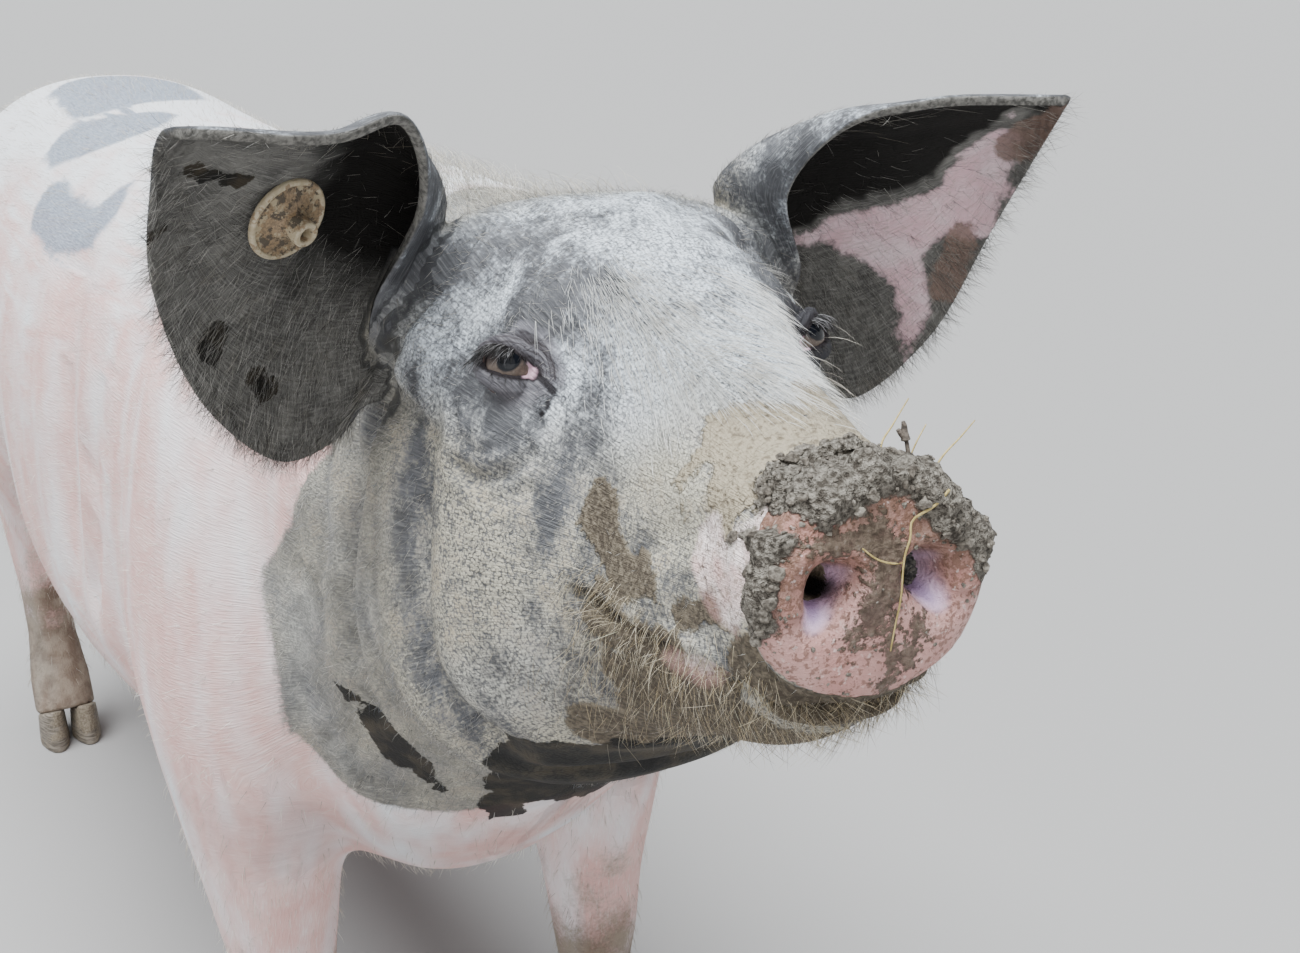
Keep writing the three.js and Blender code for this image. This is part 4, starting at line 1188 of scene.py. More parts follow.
def ear_layer(sheet, hair, middle, grit, colour):
    inside, shade = sheet.marking("ear_inside"), sheet.marking("ear_shade")
    lining = middle.tones(0.3, 0.7, (0.088, 0.085, 0.080), (0.165, 0.160, 0.147))
    lining = sheet.mix(hair.step(0.42, 0.7) * 0.5, lining, (0.33, 0.32, 0.30))
    # Painted shade in the ear's canal, under its front rim and high in the far ear's hollow.
    lining = sheet.mix(shade.step(0.05, 0.75), lining, (0.010, 0.009, 0.008))
    colour = sheet.mix(inside, colour, lining)
    colour = sheet.mix(sheet.marking("rim_band") * 0.8, colour,
                       grit.tones(0.35, 0.65, (0.075, 0.072, 0.066), (0.25, 0.24, 0.22)))
    bare = (sheet.marking("pale") + (grit - 0.5) * 5 + (middle - 0.5) * 7).step(-1.2, 2.5)
    rosy = middle.tones(0.35, 0.7, (0.76, 0.50, 0.55), (0.84, 0.66, 0.70))
    rosy = sheet.mix(hair.step(0.45, 0.7) * 0.4 + grit.step(0.6, 0.7) * 0.3, rosy, (0.42, 0.33, 0.29))
    colour = sheet.mix(bare, colour, rosy)
    return sheet.mix((sheet.marking("ear_brown") + (grit - 0.5) * 5).step(-1, 2) * 0.85, colour,
                     (0.225, 0.150, 0.120))


# %% Hide materials


def hide_material(name, parts):
    sheet = Sheet(name)
    hair = sheet.noise(1.0, 2, 0.6, at=sheet.stretch(sheet.marking("grain", "Vector"), (1.0, 0.10, 1)))
    middle = sheet.noise(60, 3, 0.6)
    grit = sheet.noise(420, 2, 0.6)
    if "head" not in parts:
        colour, relief = body_layer(sheet, hair, middle, grit)
        return sheet.finish(Base_Color=colour, Roughness=0.75, Normal=sheet.bump(relief, 0.0008, 0.8),
                            Specular_IOR_Level=0.25)
    colour, relief = head_layer(sheet, hair, middle, grit)
    if "body" in parts:
        pink, pink_relief = body_layer(sheet, hair, middle, grit)
        edge = (sheet.marking("collar") + (grit - 0.5) * 6 + (hair - 0.5) * 6).step(-2.5, 2.5)
        colour = sheet.mix(edge, pink, colour)
        relief = relief * edge + pink_relief * (1 - edge)
    if "ear" in parts:
        colour = ear_layer(sheet, hair, middle, grit, colour)
    if "eye" in parts:
        colour = eye_layer(sheet, colour, middle)
    colour, moist, soaked_and_shaded = mud_layers_and_mouth_shade(sheet, middle, grit, colour)
    rough = 0.78 - soaked_and_shaded * 0.14
    relief = relief * (1 - soaked_and_shaded * 0.6) + moist * (grit * 1.3 + 0.8)
    if "snout" in parts:
        colour, relief, bare = snout_layer(sheet, middle, grit, colour, relief)
        rough = rough - bare * 0.25
    return sheet.finish(Base_Color=colour, Roughness=rough, Normal=sheet.bump(relief, 0.0010, 0.9),
                        Specular_IOR_Level=0.22)


HIDES = {"hide_body": ["body"], "hide_collar": ["body", "head"], "hide_head": ["head"],
         "hide_eye": ["head", "eye"], "hide_snout": ["head", "snout"], "hide_ear": ["head", "ear"]}
skin.data.materials.clear()
for name, parts in HIDES.items():
    skin.data.materials.append(hide_material(name, parts))

# %% Which part each face belongs to
skin.data.calc_loop_triangles()
corners = np.empty(len(skin.data.loop_triangles) * 3, np.int32)
skin.data.loop_triangles.foreach_get("vertices", corners)
corners = corners.reshape(-1, 3)
clean = np.where(is_ear, 60, collar)[corners]
zone = np.where((clean < -9).all(1), 0, np.where((clean > 9).all(1), 2, 1))
zone[(from_eye(local)[corners] < 34).any(1) & (zone == 2)] = 3
zone[(local[:, 1][corners] > 88).any(1)] = 4
zone[is_ear[corners].any(1)] = 5
print("faces of each hide:", dict(zip(HIDES, np.bincount(zone).tolist())))
skin.data.polygons.foreach_set("material_index", zone.astype(np.int32))

# %% [markdown]
# ## Eyes
# A pig's iris is brown with a darker ring, the pupil a dark oval, and a wet clear film covers all. Rings
# round the line of sight give the iris; the wet film is the shader's coat.

# %% Eye material


def eye_material(name, gaze, centre):
    sheet = Sheet(name)
    turn = Vector(gaze).rotation_difference(Vector((0, 0, 1))).to_euler()
    moved = sheet.node("ShaderNodeVectorMath", {"operation": "SUBTRACT"}, {0: sheet.place, 1: tuple(centre)})
    turned = sheet.node("ShaderNodeVectorRotate", {"rotation_type": "EULER_XYZ"},
                        {"Vector": moved, "Rotation": tuple(turn)})
    x, y, z = (sheet.node("ShaderNodeSeparateXYZ", None, {0: turned}, out=k) for k in range(3))
    round_gaze = (x * x + y * y) ** 0.5 * 1000
    oval = (x * x + y * y * 1.5) ** 0.5 * 1000
    fibres = sheet.noise(1.0, 3, at=sheet.stretch(turned, (900, 900, 60)))
    front = z.step(0.0, 0.004)
    # Painted shadow of the upper lid and lashes: the iris is darker towards its top.
    up_x, up_y, _ = Vector(gaze).rotation_difference(Vector((0, 0, 1))) @ Vector((0, 0, 1))
    lift = (x * (up_x / math.hypot(up_x, up_y)) + y * (up_y / math.hypot(up_x, up_y))) * 1000
    brown = fibres.tones(0.2, 0.8, (0.100, 0.074, 0.060), (0.165, 0.126, 0.103))
    brown = sheet.mix(lift.step(-2.5, 3.0) * 0.85, brown, (0.030, 0.028, 0.034))
    white = sheet.mix(sheet.noise(300, 3).step(0.4, 0.6), (0.13, 0.090, 0.080), (0.08, 0.050, 0.045))
    ring = (round_gaze + (fibres - 0.5) * 0.8).step(8.2, 9.4)
    colour = sheet.mix(ring, brown, (0.014, 0.010, 0.010))
    colour = sheet.mix(round_gaze.step(9.6, 10.6), colour, white)
    colour = sheet.mix(1 - oval.step(4.4, 5.5), colour, (0.004, 0.005, 0.008))
    colour = sheet.mix(front, white, colour)
    return sheet.finish(Base_Color=colour, Roughness=0.12, Specular_IOR_Level=0.2, Coat_Weight=0.35,
                        Coat_Roughness=0.03)


# %% Eyeballs


def make_eyeball(side):
    bm = bmesh.new()
    bmesh.ops.create_uvsphere(bm, u_segments=64, v_segments=40, radius=EYE["radius"])
    for vert in bm.verts:
        rise = smooth_step(vert.co.z, 10.2, 12.5)
        vert.co.z += 1.3 * float(rise)
    axes = SLIT * (side, 1, 1)
    gaze = axes[2] * 12 + axes[0] * 0.2 + axes[1] * 2.6
    gaze /= np.linalg.norm(gaze)
    spin = Vector((0, 0, 1)).rotation_difference(Vector(gaze)).to_matrix()
    centre = np.array([side * EYE["side"], EYE["forward"], EYE["up"]])
    for vert in bm.verts:
        vert.co = Vector(from_head(np.array(spin @ vert.co) + centre))
    bmesh.ops.recalc_face_normals(bm, faces=bm.faces)
    return bm, head_direction(gaze)


for name, side in SIDES.items():
    bm, gaze = make_eyeball(side)
    ball = mesh_object(f"eyeball_{name}", bm)
    smooth_faces(ball.data)
    centre = from_head([side * EYE["side"], EYE["forward"], EYE["up"]])
    ball.data.materials.append(eye_material(f"eye_{name}", gaze, centre))
    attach(ball, "root")
    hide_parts(f"eye_{name}")

# %% [markdown]
# ## The coat
# A pig's coat is thin: stiff single hairs that lie backwards over the hide. Most of it is drawn by the
# hide's bump, and real hairs stand over it: short ones on body, neck and face, longer ones on the crest,
# ears, lips and brows. Each is a thin three-sided spike, bent along its length. Hairs are grown from points
# spread over the skin's own faces, and each has a tiny patch on a flat layout of the skin.

# %% Spread roots over the skin
RANDOM = np.random.default_rng(11)
points, normals = points_of(skin.data), normals_of(skin.data)
local = to_head(points)
triangle = points[corners]
area = np.linalg.norm(np.cross(triangle[:, 1] - triangle[:, 0], triangle[:, 2] - triangle[:, 0]), axis=1) / 2
on_skin = {
    "point": points, "normal": normals, "local": local, "collar": collar, "slit": by_lid,
    "damp": damp, "wet_mud_and_shade": wet_mud_and_shade, "ear": is_ear.astype(float), "hollow": hollow.astype(float),
    "t": np.where(is_ear, on_ear[:, 0], 0), "s": np.where(is_ear, on_ear[:, 1], 0),
    "shade": shade, "pale": pale, "disc": on_disc, "cake": cake,
    "hole": np.maximum(slope, hole) * front,
}


def sow(count, density):
    """Spreads roots over the skin; density takes what is known at the middles of its faces."""
    at_faces = {name: values[corners].mean(1) for name, values in on_skin.items()}
    weight = area * np.clip(density(at_faces), 0, None)
    chosen = RANDOM.choice(len(weight), count, p=weight / weight.sum())
    a, b = RANDOM.random((2, count, 1))
    a, b = np.where(a + b > 1, 1 - a, a), np.where(a + b > 1, 1 - b, b)
    shares = np.concatenate([1 - a - b, a, b], 1)[:, :, None]
    roots = {}
    for name, values in on_skin.items():
        at_corners = values[corners[chosen]]
        at_corners = at_corners if at_corners.ndim == 3 else at_corners[:, :, None]
        roots[name] = np.squeeze((at_corners * shares).sum(1))
    roots["normal"] /= np.linalg.norm(roots["normal"], axis=1, keepdims=True)
    return roots


BODY_WIDE, STRIPS_FROM, STRIP_STEP = 0.68, 0.70, 0.145  # shares of the layout's width
STRIP_WIDE, STRIP_LONG = 0.13, 0.22
LEG_TOP = 0.28


def layout_of(roots):
    """Places on a flat layout of the skin: the body unrolled, and each ear and leg on a strip beside it."""
    points = roots["point"]
    u = (np.arctan2(points[:, 0], points[:, 2] - BODY_MIDDLE_UP) / (2 * math.pi) + 0.5) * BODY_WIDE
    v = (points[:, 1] + 0.73) / 1.46
    leg = points[:, 2] < LEG_TOP
    limb = (points[:, 0] > 0) * STRIP_STEP + (points[:, 1] > 0.1) * 0.5j
    around = np.arctan2(points[:, 0] - np.sign(points[:, 0]) * LEG_ASIDE, points[:, 1] - leg_middle(points))
    u = np.where(leg, STRIPS_FROM + limb.real + (around / (2 * math.pi) + 0.5) * STRIP_WIDE, u)
    v = np.where(leg, limb.imag + points[:, 2] / LEG_TOP * STRIP_LONG, v)
    ear = roots["ear"] > 0.5
    u = np.where(ear, STRIPS_FROM + (points[:, 0] > 0) * STRIP_STEP + roots["s"] * STRIP_WIDE, u)
    v = np.where(ear, 0.25 + (roots["hollow"] > 0.5) * 0.5 + roots["t"] * STRIP_LONG, v)
    return np.clip(np.stack([u, v], 1), 0.002, 0.994)


def along_skin(roots, direction):
    """Directions laid flat on the skin at the roots."""
    direction = np.broadcast_to(direction, roots["point"].shape)
    flat = direction - roots["normal"] * (direction * roots["normal"]).sum(1, keepdims=True)
    return flat / np.maximum(np.linalg.norm(flat, axis=1, keepdims=True), 1e-6)


THIRDS_OF_A_TURN = (0.0, 2.094, 4.189)
LAYOUT_PATCH = 0.003
ROOT_SHADE, TIP_SHADE = 0.78, 1.12


def grow(name, roots, lie, length, lift, colour, width=0.13, bends=3, spread=0.35, droop=0.0, sink=0.6):
    """Adds a piece of hairs, in millimetres; lift is their angle off the skin at root and tip."""
    count = len(roots["point"])
    length = np.broadcast_to(length, count) * RANDOM.uniform(0.7, 1.2, count) * MM
    lie = lie + RANDOM.normal(0, spread, (count, 3))
    lie = along_skin(roots, lie)
    normal = roots["normal"]
    side = np.cross(lie, normal)
    curl = RANDOM.normal(0, spread, (count, 1)) * side
    start, end = np.radians(lift[0]), np.radians(lift[1])
    middle = roots["point"] - normal * sink * MM
    rings = []
    for k in range(bends + 1):
        share = k / bends
        thick = width * MM * (1 - share) ** 0.7
        angle = start + (end - start) * share
        way = lie * math.cos(angle) + normal * math.sin(angle) + curl * share
        way = way + np.array([0, 0, -droop * share])
        way /= np.linalg.norm(way, axis=1, keepdims=True)
        across = np.cross(way, normal + 0.3 * side)
        across /= np.maximum(np.linalg.norm(across, axis=1, keepdims=True), 1e-6)
        upward = np.cross(across, way)
        if k < bends:
            for turn in THIRDS_OF_A_TURN:
                rings.append(middle + thick * (math.cos(turn) * across + math.sin(turn) * upward))
        else:
            rings.append(middle)
        middle = middle + way * (length / bends)[:, None]
    spike = np.stack(rings, 1)
    faces = [(0, 2, 1)]
    for k in range(bends - 1):
        for a, b in ((0, 1), (1, 2), (2, 0)):
            low, high = 3 * k, 3 * k + 3
            faces += [(low + a, low + b, high + a), (low + b, high + b, high + a)]
    tip, last = 3 * bends, 3 * (bends - 1)
    faces += [(last, last + 1, tip), (last + 1, last + 2, tip), (last + 2, last, tip)]
    faces = np.array(faces)
    every = (faces[None] + (np.arange(count) * (tip + 1))[:, None, None]).reshape(-1, 3)
    mesh = bpy.data.meshes.new(name)
    mesh.from_pydata(spike.reshape(-1, 3).tolist(), [], every.tolist())
    tint = mesh.attributes.new("tint", "FLOAT_COLOR", "POINT")
    values = np.ones((count, tip + 1, 4), np.float32)
    fade = np.linspace(ROOT_SHADE, TIP_SHADE, tip + 1)[None, :, None]
    values[:, :, :3] = np.clip(np.broadcast_to(colour, (count, 3))[:, None] * fade, 0, 1)
    tint.data.foreach_set("color", values.ravel())
    corner = np.stack([np.arange(tip + 1) / tip, (np.arange(tip + 1) % 3) / 2], 1) * LAYOUT_PATCH
    places = (layout_of(roots)[:, None] + corner[None]).reshape(-1, 2)
    layer = mesh.uv_layers.new(name="OFBake")
    layer.data.foreach_set("uv", places[every.ravel()].astype(np.float32).ravel())
    smooth_faces(mesh)
    piece = bpy.data.objects.new(name, mesh)
    bpy.context.scene.collection.objects.link(piece)
    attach(piece, "root")
    coat.append(piece)
    print(name, "hairs:", count, "faces:", len(every))


def shades(roots, *colours, spread=0.25):
    """A colour for each hair, picked from some and made lighter or darker."""
    count = len(roots["point"])
    picked = np.array(colours)[RANDOM.integers(0, len(colours), count)]
    return np.clip(picked * RANDOM.normal(1, spread, (count, 1)), 0.01, 0.9)


FORWARD, BACK = head_direction((0, 1, 0)), head_direction((0, -1, 0))
DOWNWARD = head_direction((0, 0, -1))
PALE_HAIR, STRAW_HAIR = (0.70, 0.66, 0.58), (0.52, 0.42, 0.26)
GREY_HAIR, DARK_HAIR = (0.30, 0.29, 0.27), (0.03, 0.027, 0.025)
coat = []

# %% Body and neck hair


def body_lie(roots):
    points = roots["point"]
    leg = smooth_step(points[:, 2], 0.40, 0.28)[:, None]
    return np.array([0, 1, -0.45]) * (1 - leg) + np.array([0, 0.15, -1]) * leg


roots = sow(15000, lambda f: (f["ear"] < 0.3) * (f["local"][:, 1] < -150) * (f["collar"] < 0)
            * (f["point"][:, 2] > 0.06)
            * (1 + 1.5 * (f["point"][:, 2] > 0.62) + 1.2 * (f["point"][:, 2] < 0.3)))
pale = shades(roots, (0.74, 0.69, 0.62), (0.62, 0.56, 0.48))
pale = np.where(((roots["point"][:, 2] < 0.20) & (RANDOM.random(len(pale)) < 0.8))[:, None],
                (0.30, 0.25, 0.18), pale)
grow("coat_body", roots, body_lie(roots), 14, (28, 4), pale, width=0.14, bends=2, spread=0.25)

roots = sow(9000, lambda f: (f["ear"] < 0.3) * (f["collar"] > 2) * (f["local"][:, 1] < -40) * (f["wet_mud_and_shade"] < 0))
grow("coat_neck", roots, BACK * 0.8 + DOWNWARD * 0.5, 9, (26, 3),
     shades(roots, GREY_HAIR, (0.48, 0.46, 0.42), (0.18, 0.19, 0.21)), width=0.12, bends=2, spread=0.3)


def on_crest(f):
    across = bump(f["point"][:, 0] - 0.004, 0.036)
    return (across * (f["point"][:, 2] > 0.62) * (f["ear"] < 0.3)
            * smooth_step(f["point"][:, 1], -0.47, -0.42)
            * (1 - smooth_step(f["point"][:, 1], -0.22, 0.1)))


roots = sow(3200, on_crest)
grow("mane", roots, np.array([0, 1, 0.2]), 21, (55, 10),
     shades(roots, PALE_HAIR, (0.55, 0.50, 0.42), GREY_HAIR),
     width=0.11, bends=4, spread=0.5, droop=0.35)

# %% Face hair
roots = sow(13000, lambda f: (f["ear"] < 0.3) * (f["local"][:, 1] > -90) * (f["slit"] < -6) * (f["disc"] < -3)
            * (f["wet_mud_and_shade"] < 0) * (f["collar"] > 0) * (1 - 0.75 * (f["damp"] > -1)))
grow("coat_face", roots, BACK * 0.6 + DOWNWARD * 0.35, 6.0, (14, 3),
     shades(roots, (0.62, 0.60, 0.55), (0.10, 0.10, 0.105), (0.06, 0.06, 0.063)), width=0.075, bends=2,
     spread=0.25)


def on_streak(f):
    p = f["local"]
    path = [[-26, 26, 30], [-20, 50, 16], [-14, 84, -2], [-4, 100, -4]]
    return bump(near_path(p, path), 15) + 0.35 * bump(near_path(p * (-1, 1, 1), path), 14) * (p[:, 1] > 20)


roots = sow(2600, lambda f: on_streak(f) * (1 - 0.85 * (f["damp"] > -1)))
fan = head_direction(roots["local"] - (-20, -20, 52)) / 60
grow("brow_streak", roots, fan + FORWARD * 0.5 + DOWNWARD * 0.3, 17, (20, 2),
     shades(roots, (0.90, 0.90, 0.89), (0.80, 0.79, 0.76), spread=0.08), width=0.12, spread=0.11)

# %% Bristles of lips, chin and jaw


def on_lips(f):
    p = mirrored(f["local"])
    by_mouth = bump(near_path(p, MOUTH_LINE) - 3, 8) * (p[:, 1] > 40)
    under = bump(near_path(p, [[46, 52, -100], [38, 100, -112], [10, 132, -116], [0, 136, -116]]), 15)
    jowl = 0.25 * bump(near_path(p, [[60, 30, -120], [40, 60, -140], [0, 70, -140]]), 26)
    return (by_mouth + 0.6 * under + jowl) * (f["disc"] < -4)


roots = sow(3600, on_lips)
forward_share = smooth_step(roots["local"][:, 1], 60, 140)[:, None]
grow("bristles", roots, DOWNWARD * 1.0 + BACK * (0.55 - 0.7 * forward_share),
     13 * RANDOM.uniform(0.5, 1.3, len(forward_share)), (34, 10),
     shades(roots, STRAW_HAIR, (0.60, 0.52, 0.37), (0.64, 0.58, 0.46), (0.16, 0.13, 0.09),
            (0.09, 0.07, 0.05)),
     width=0.088, bends=4, spread=0.42, droop=0.25)
roots = sow(900, lambda f: bump(near_path(f["local"], [[70, 20, -40], [72, 30, -90], [54, 60, -100]]), 20))
grow("far_cheek_hair", roots, DOWNWARD + FORWARD * 0.5, 20, (50, 12),
     shades(roots, PALE_HAIR, (0.5, 0.46, 0.4)),
     bends=4, droop=0.3)

# %% Hair in and round the ears


def from_root(roots):
    """Directions that leave the ear's root, in the row's frame."""
    side = np.sign(roots["local"][:, :1])
    return head_direction(roots["local"] - np.array([80.0, -96, 46])
                          * np.concatenate([side, 1 + 0 * side, 1 + 0 * side], 1))


def unit(vectors):
    return vectors / np.maximum(np.linalg.norm(vectors, axis=1, keepdims=True), 1e-6)


roots = sow(6500, lambda f: (f["hollow"] > 0.5) * (0.06 + bump(f["s"] - 0.82, 0.25)) * (f["t"] > 0.15)
            * (1 - 0.9 * f["shade"]) * (1 - 0.85 * (f["pale"] > 0)))
lie = unit(from_root(roots)) + DOWNWARD * (0.5 + 0.6 * roots["s"][:, None])
grow("ear_lining", roots, lie, 11, (20, 4),
     shades(roots, (0.36, 0.35, 0.33), (0.20, 0.195, 0.185), (0.52, 0.50, 0.46), (0.08, 0.075, 0.07)),
     width=0.085, spread=0.4)
roots = sow(3600, lambda f: (f["ear"] > 0.5) * (f["hollow"] < 0.5) * (f["t"] > 0.08) * (f["s"] > 0.15))
grow("ear_back", roots, unit(from_root(roots)), 8, (18, 3),
     shades(roots, GREY_HAIR, DARK_HAIR, (0.45, 0.43, 0.40)),
     width=0.10, bends=2, spread=0.3)


def by_rim(f):
    rear = bump(1 - f["s"], 0.035) * (f["t"] > 0.25) + 0.15 * bump(1 - f["t"], 0.03)
    return (f["ear"] > 0.5) * rear


roots = sow(1900, by_rim)
outwards = unit(from_root(roots)) * 1.0 + DOWNWARD * 0.5
grow("ear_fringe", roots, outwards, 13, (22, 12),
     shades(roots, DARK_HAIR, (0.10, 0.09, 0.085), GREY_HAIR, (0.5, 0.47, 0.42)),
     width=0.095, bends=4, spread=0.4, droop=0.1)
roots = sow(130, lambda f: (f["hollow"] > 0.5) * (f["s"] > 0.13) * bump(f["s"] - 0.20, 0.08)
            * (bump(f["t"] - 0.50, 0.10) + (f["local"][:, 0] > 0) * bump(f["t"] - 0.38, 0.2)))
grow("ear_whiskers", roots, unit(from_root(roots)) + DOWNWARD * 0.45, 26, (16, 3),
     shades(roots, (0.56, 0.53, 0.47), (0.36, 0.32, 0.26)), width=0.075, bends=5, spread=0.22, droop=0.2)

# %% Lashes and brow hairs


def on_lid(low, high, above):
    def density(f):
        along, up, reach, out = on_slit(f["local"])
        inside, upper = slit_opening(along, up)
        edge = (inside > low) & (inside < high) & (out > 0.05) & (reach < 17)
        return edge * ((up > upper - 1.5) if above else (up < 0)) * (along < 7)
    return density


upper_lid = on_lid(-1.8, -0.2, True)
roots = sow(420, lambda f: upper_lid(f) * (0.25 + (on_slit(f["local"])[0] < 1)))
along, up, reach, out = on_slit(roots["local"])
across_head = head_direction(np.sign(roots["local"][:, :1]) * np.array([[1.0, 0, 0]]))
lie = DOWNWARD * 0.6 + across_head * (0.55 - 0.05 * along[:, None]) + FORWARD * 0.25
grow("lashes", roots, lie, 8.0 + 0.15 * np.clip(-along, 0, 12), (62, 8),
     shades(roots, DARK_HAIR, (0.012, 0.011, 0.011), (0.014, 0.012, 0.012), (0.30, 0.29, 0.30)), width=0.13,
     bends=5, spread=0.2, droop=0.35, sink=0.3)
roots = sow(40, lambda f: bump(near_path(mirrored(f["local"]), [[52.5, 22, -6], [52.5, 27, -9]]), 1.6))
grow("tear_hairs", roots, DOWNWARD + BACK * 0.8, 8, (12, 2), shades(roots, (0.015, 0.013, 0.012)), width=0.16,
     spread=0.2)
roots = sow(70, on_lid(-1.4, -0.2, False))
grow("lower_lashes", roots, DOWNWARD + FORWARD * 0.5, 5, (50, 20), shades(roots, DARK_HAIR), width=0.12,
     sink=0.3)
roots = sow(150, lambda f: bump(near_path(mirrored(f["local"]), [[50, 2, 32]]), 12) * (f["ear"] < 0.3))
grow("brow_hairs", roots, DOWNWARD * 0.3 + FORWARD * 0.6, 15, (26, 4),
     shades(roots, (0.6, 0.58, 0.54), GREY_HAIR, DARK_HAIR), width=0.07, bends=4, spread=0.2)
roots = sow(260, lambda f: (f["point"][:, 1] > 0.64) * bump(f["point"][:, 2] - 0.53, 0.03))
grow("tail_tuft", roots, np.array([0, 0.1, -1]), 34, (30, 4), shades(roots, PALE_HAIR, (0.5, 0.42, 0.3)),
     width=0.16, bends=4, droop=0.4)


def hair_material():
    sheet = Sheet("hair")
    tint = sheet.marking("tint", "Color")
    grime = sheet.noise(90, 2).step(0.45, 0.7) * 0.35
    return sheet.finish(Base_Color=sheet.mix(grime, tint, (0.55, 0.47, 0.36), "MULTIPLY"), Roughness=0.55,
                        Specular_IOR_Level=0.3)


hair_finish = hair_material()
for piece in coat:
    piece.data.materials.append(hair_finish)
print("hairs:", len(coat), "pieces,", sum(len(piece.data.polygons) for piece in coat), "faces")

# %% [markdown]
# ## Ear tag
# A button tag is two moulded discs that clip together through the ear: a dish with a hollow stud in front,
# and a smaller button with a pin behind. Both are turned forms, so each is a profile spun round the tag's
# axis. Mud has dried in the dish, and its rim and the stud's end are rubbed clean.

# %% The tag's two halves
tag_place = np.array([TAG_ON_EAR["along"]]), np.array([TAG_ON_EAR["around"]])
seat, facing, thick = (value[0] for value in ear_sheet(*tag_place, "right"))
TAG_AT = Vector(from_head(seat * (-1, 1, 1)))
TAG_LEANS = np.array([0.51, 0.72, -0.46])
TAG_AXIS = Vector(head_direction(-facing * (-1, 1, 1) * 0.45 + TAG_LEANS * 0.55)).normalized()
FRONT_AT, BACK_AT = float(thick) / 2 + 4.0, -float(thick) / 2 - 1.6
STUD_END = FRONT_AT + 14.2
DISH = [(3.0, 0), (3.0, 13.4), (3.5, 14.2), (4.9, 14.2), (5.5, 13.5), (5.5, 7.6), (6.1, 5.6), (8.0, 4.1),
        (12.0, 3.0), (15.6, 2.5), (16.1, 3.2), (17.3, 3.2), (18.0, 2.4), (18.0, 1.0), (17.2, 0)]
PIN_LONG = STUD_END - BACK_AT
BUTTON = [(0.0, PIN_LONG - 5), (1.6, PIN_LONG - 5.3), (2.2, PIN_LONG - 6), (2.2, 0), (13.0, -0.3),
          (13.8, -0.9), (14.0, -1.5), (12.8, -2.6), (9.0, -3.1), (0.0, -3.4)]


def turned(name, profile, height, closed):
    """A profile of radius and height in millimetres, spun round the tag's axis."""
    bm = bmesh.new()
    verts = [bm.verts.new((radius * MM, 0, (rise + height) * MM)) for radius, rise in profile]
    ends = verts[1:] + verts[:1] if closed else verts[1:]
    edges = [bm.edges.new(pair) for pair in zip(verts, ends)]
    bmesh.ops.spin(bm, geom=verts + edges, axis=(0, 0, 1), cent=(0, 0, 0), angle=2 * math.pi, steps=72,
                   use_merge=True)
    bmesh.ops.remove_doubles(bm, verts=bm.verts, dist=1e-6)
    bmesh.ops.recalc_face_normals(bm, faces=bm.faces)
    corners_of_form = [e for e in bm.edges if len(e.link_faces) == 2 and e.calc_face_angle() > 0.6]
    bmesh.ops.bevel(bm, geom=corners_of_form, offset=0.0002, affect="EDGES", segments=2, profile=0.5,
                    material=-1)
    radius = np.array([math.hypot(v.co.x, v.co.y) for v in bm.verts]) / MM
    rise = np.array([v.co.z for v in bm.verts]) / MM - height
    rubbed = smooth_step(radius, 15.2, 16.4) + smooth_step(rise, 12.6, 13.8) * (radius > 2.9)
    spin = Vector((0, 0, 1)).rotation_difference(TAG_AXIS).to_matrix().to_4x4()
    bmesh.ops.transform(bm, matrix=Matrix.Translation(TAG_AT) @ spin, verts=bm.verts)
    piece = mesh_object(name, bm)
    smooth_faces(piece.data)
    piece.data.set_sharp_from_angle(angle=math.radians(40))
    set_attribute(piece.data, "rubbed", rubbed)
    return piece


tag_pieces = {"ear_tag_front": turned("tag_dish", DISH, FRONT_AT, True),
              "ear_tag_back": turned("tag_button", BUTTON, BACK_AT, False)}

# %% Muddy cream plastic


def tag_material():
    sheet = Sheet("tag_plastic")
    stain, grit = sheet.noise(170, 4, 0.65), sheet.noise(900, 3, 0.6)
    cream = stain.tones(0.35, 0.65, (0.40, 0.325, 0.21), (0.60, 0.53, 0.39))
    rubbed = sheet.marking("rubbed")
    brown = (stain + (grit - 0.5) * 0.25 - rubbed * 0.12).step(0.40, 0.50)
    colour = sheet.mix(brown * 0.85, cream, grit.tones(0.4, 0.6, (0.13, 0.075, 0.035), (0.27, 0.17, 0.085)))
    mud = (sheet.noise(230, 4, 0.7) - rubbed * 0.12).step(0.50, 0.57)
    colour = sheet.mix(mud * 0.9, colour, (0.075, 0.062, 0.048))
    return sheet.finish(Base_Color=colour, Roughness=0.5 + mud * 0.35,
                        Normal=sheet.bump(mud + grit * 0.3, 0.0004, 0.6))


tag_finish = tag_material()
for node, piece in tag_pieces.items():
    piece.data.materials.append(tag_finish)
    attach(piece, "root")
    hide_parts(node)
    print(piece.name, "faces:", len(piece.data.polygons))

# %% [markdown]
# ## Claws
# A pig stands on two claws a foot and carries two small dewclaws behind. They are hard, so they stay pieces
# of their own beside the skin. The solids' copies are remeshed and relaxed, which rounds them, and the
# horn's growth rings are fine steps pressed into the mesh.

# %% Claws of each foot
CLAW_SWELL, CLAW_VOXEL, RING_DEPTH = 0.0004, 0.0016, 0.00025
FEET = [f"{leg}_{side}" for leg in ("foreleg", "hindleg") for side in SIDES]


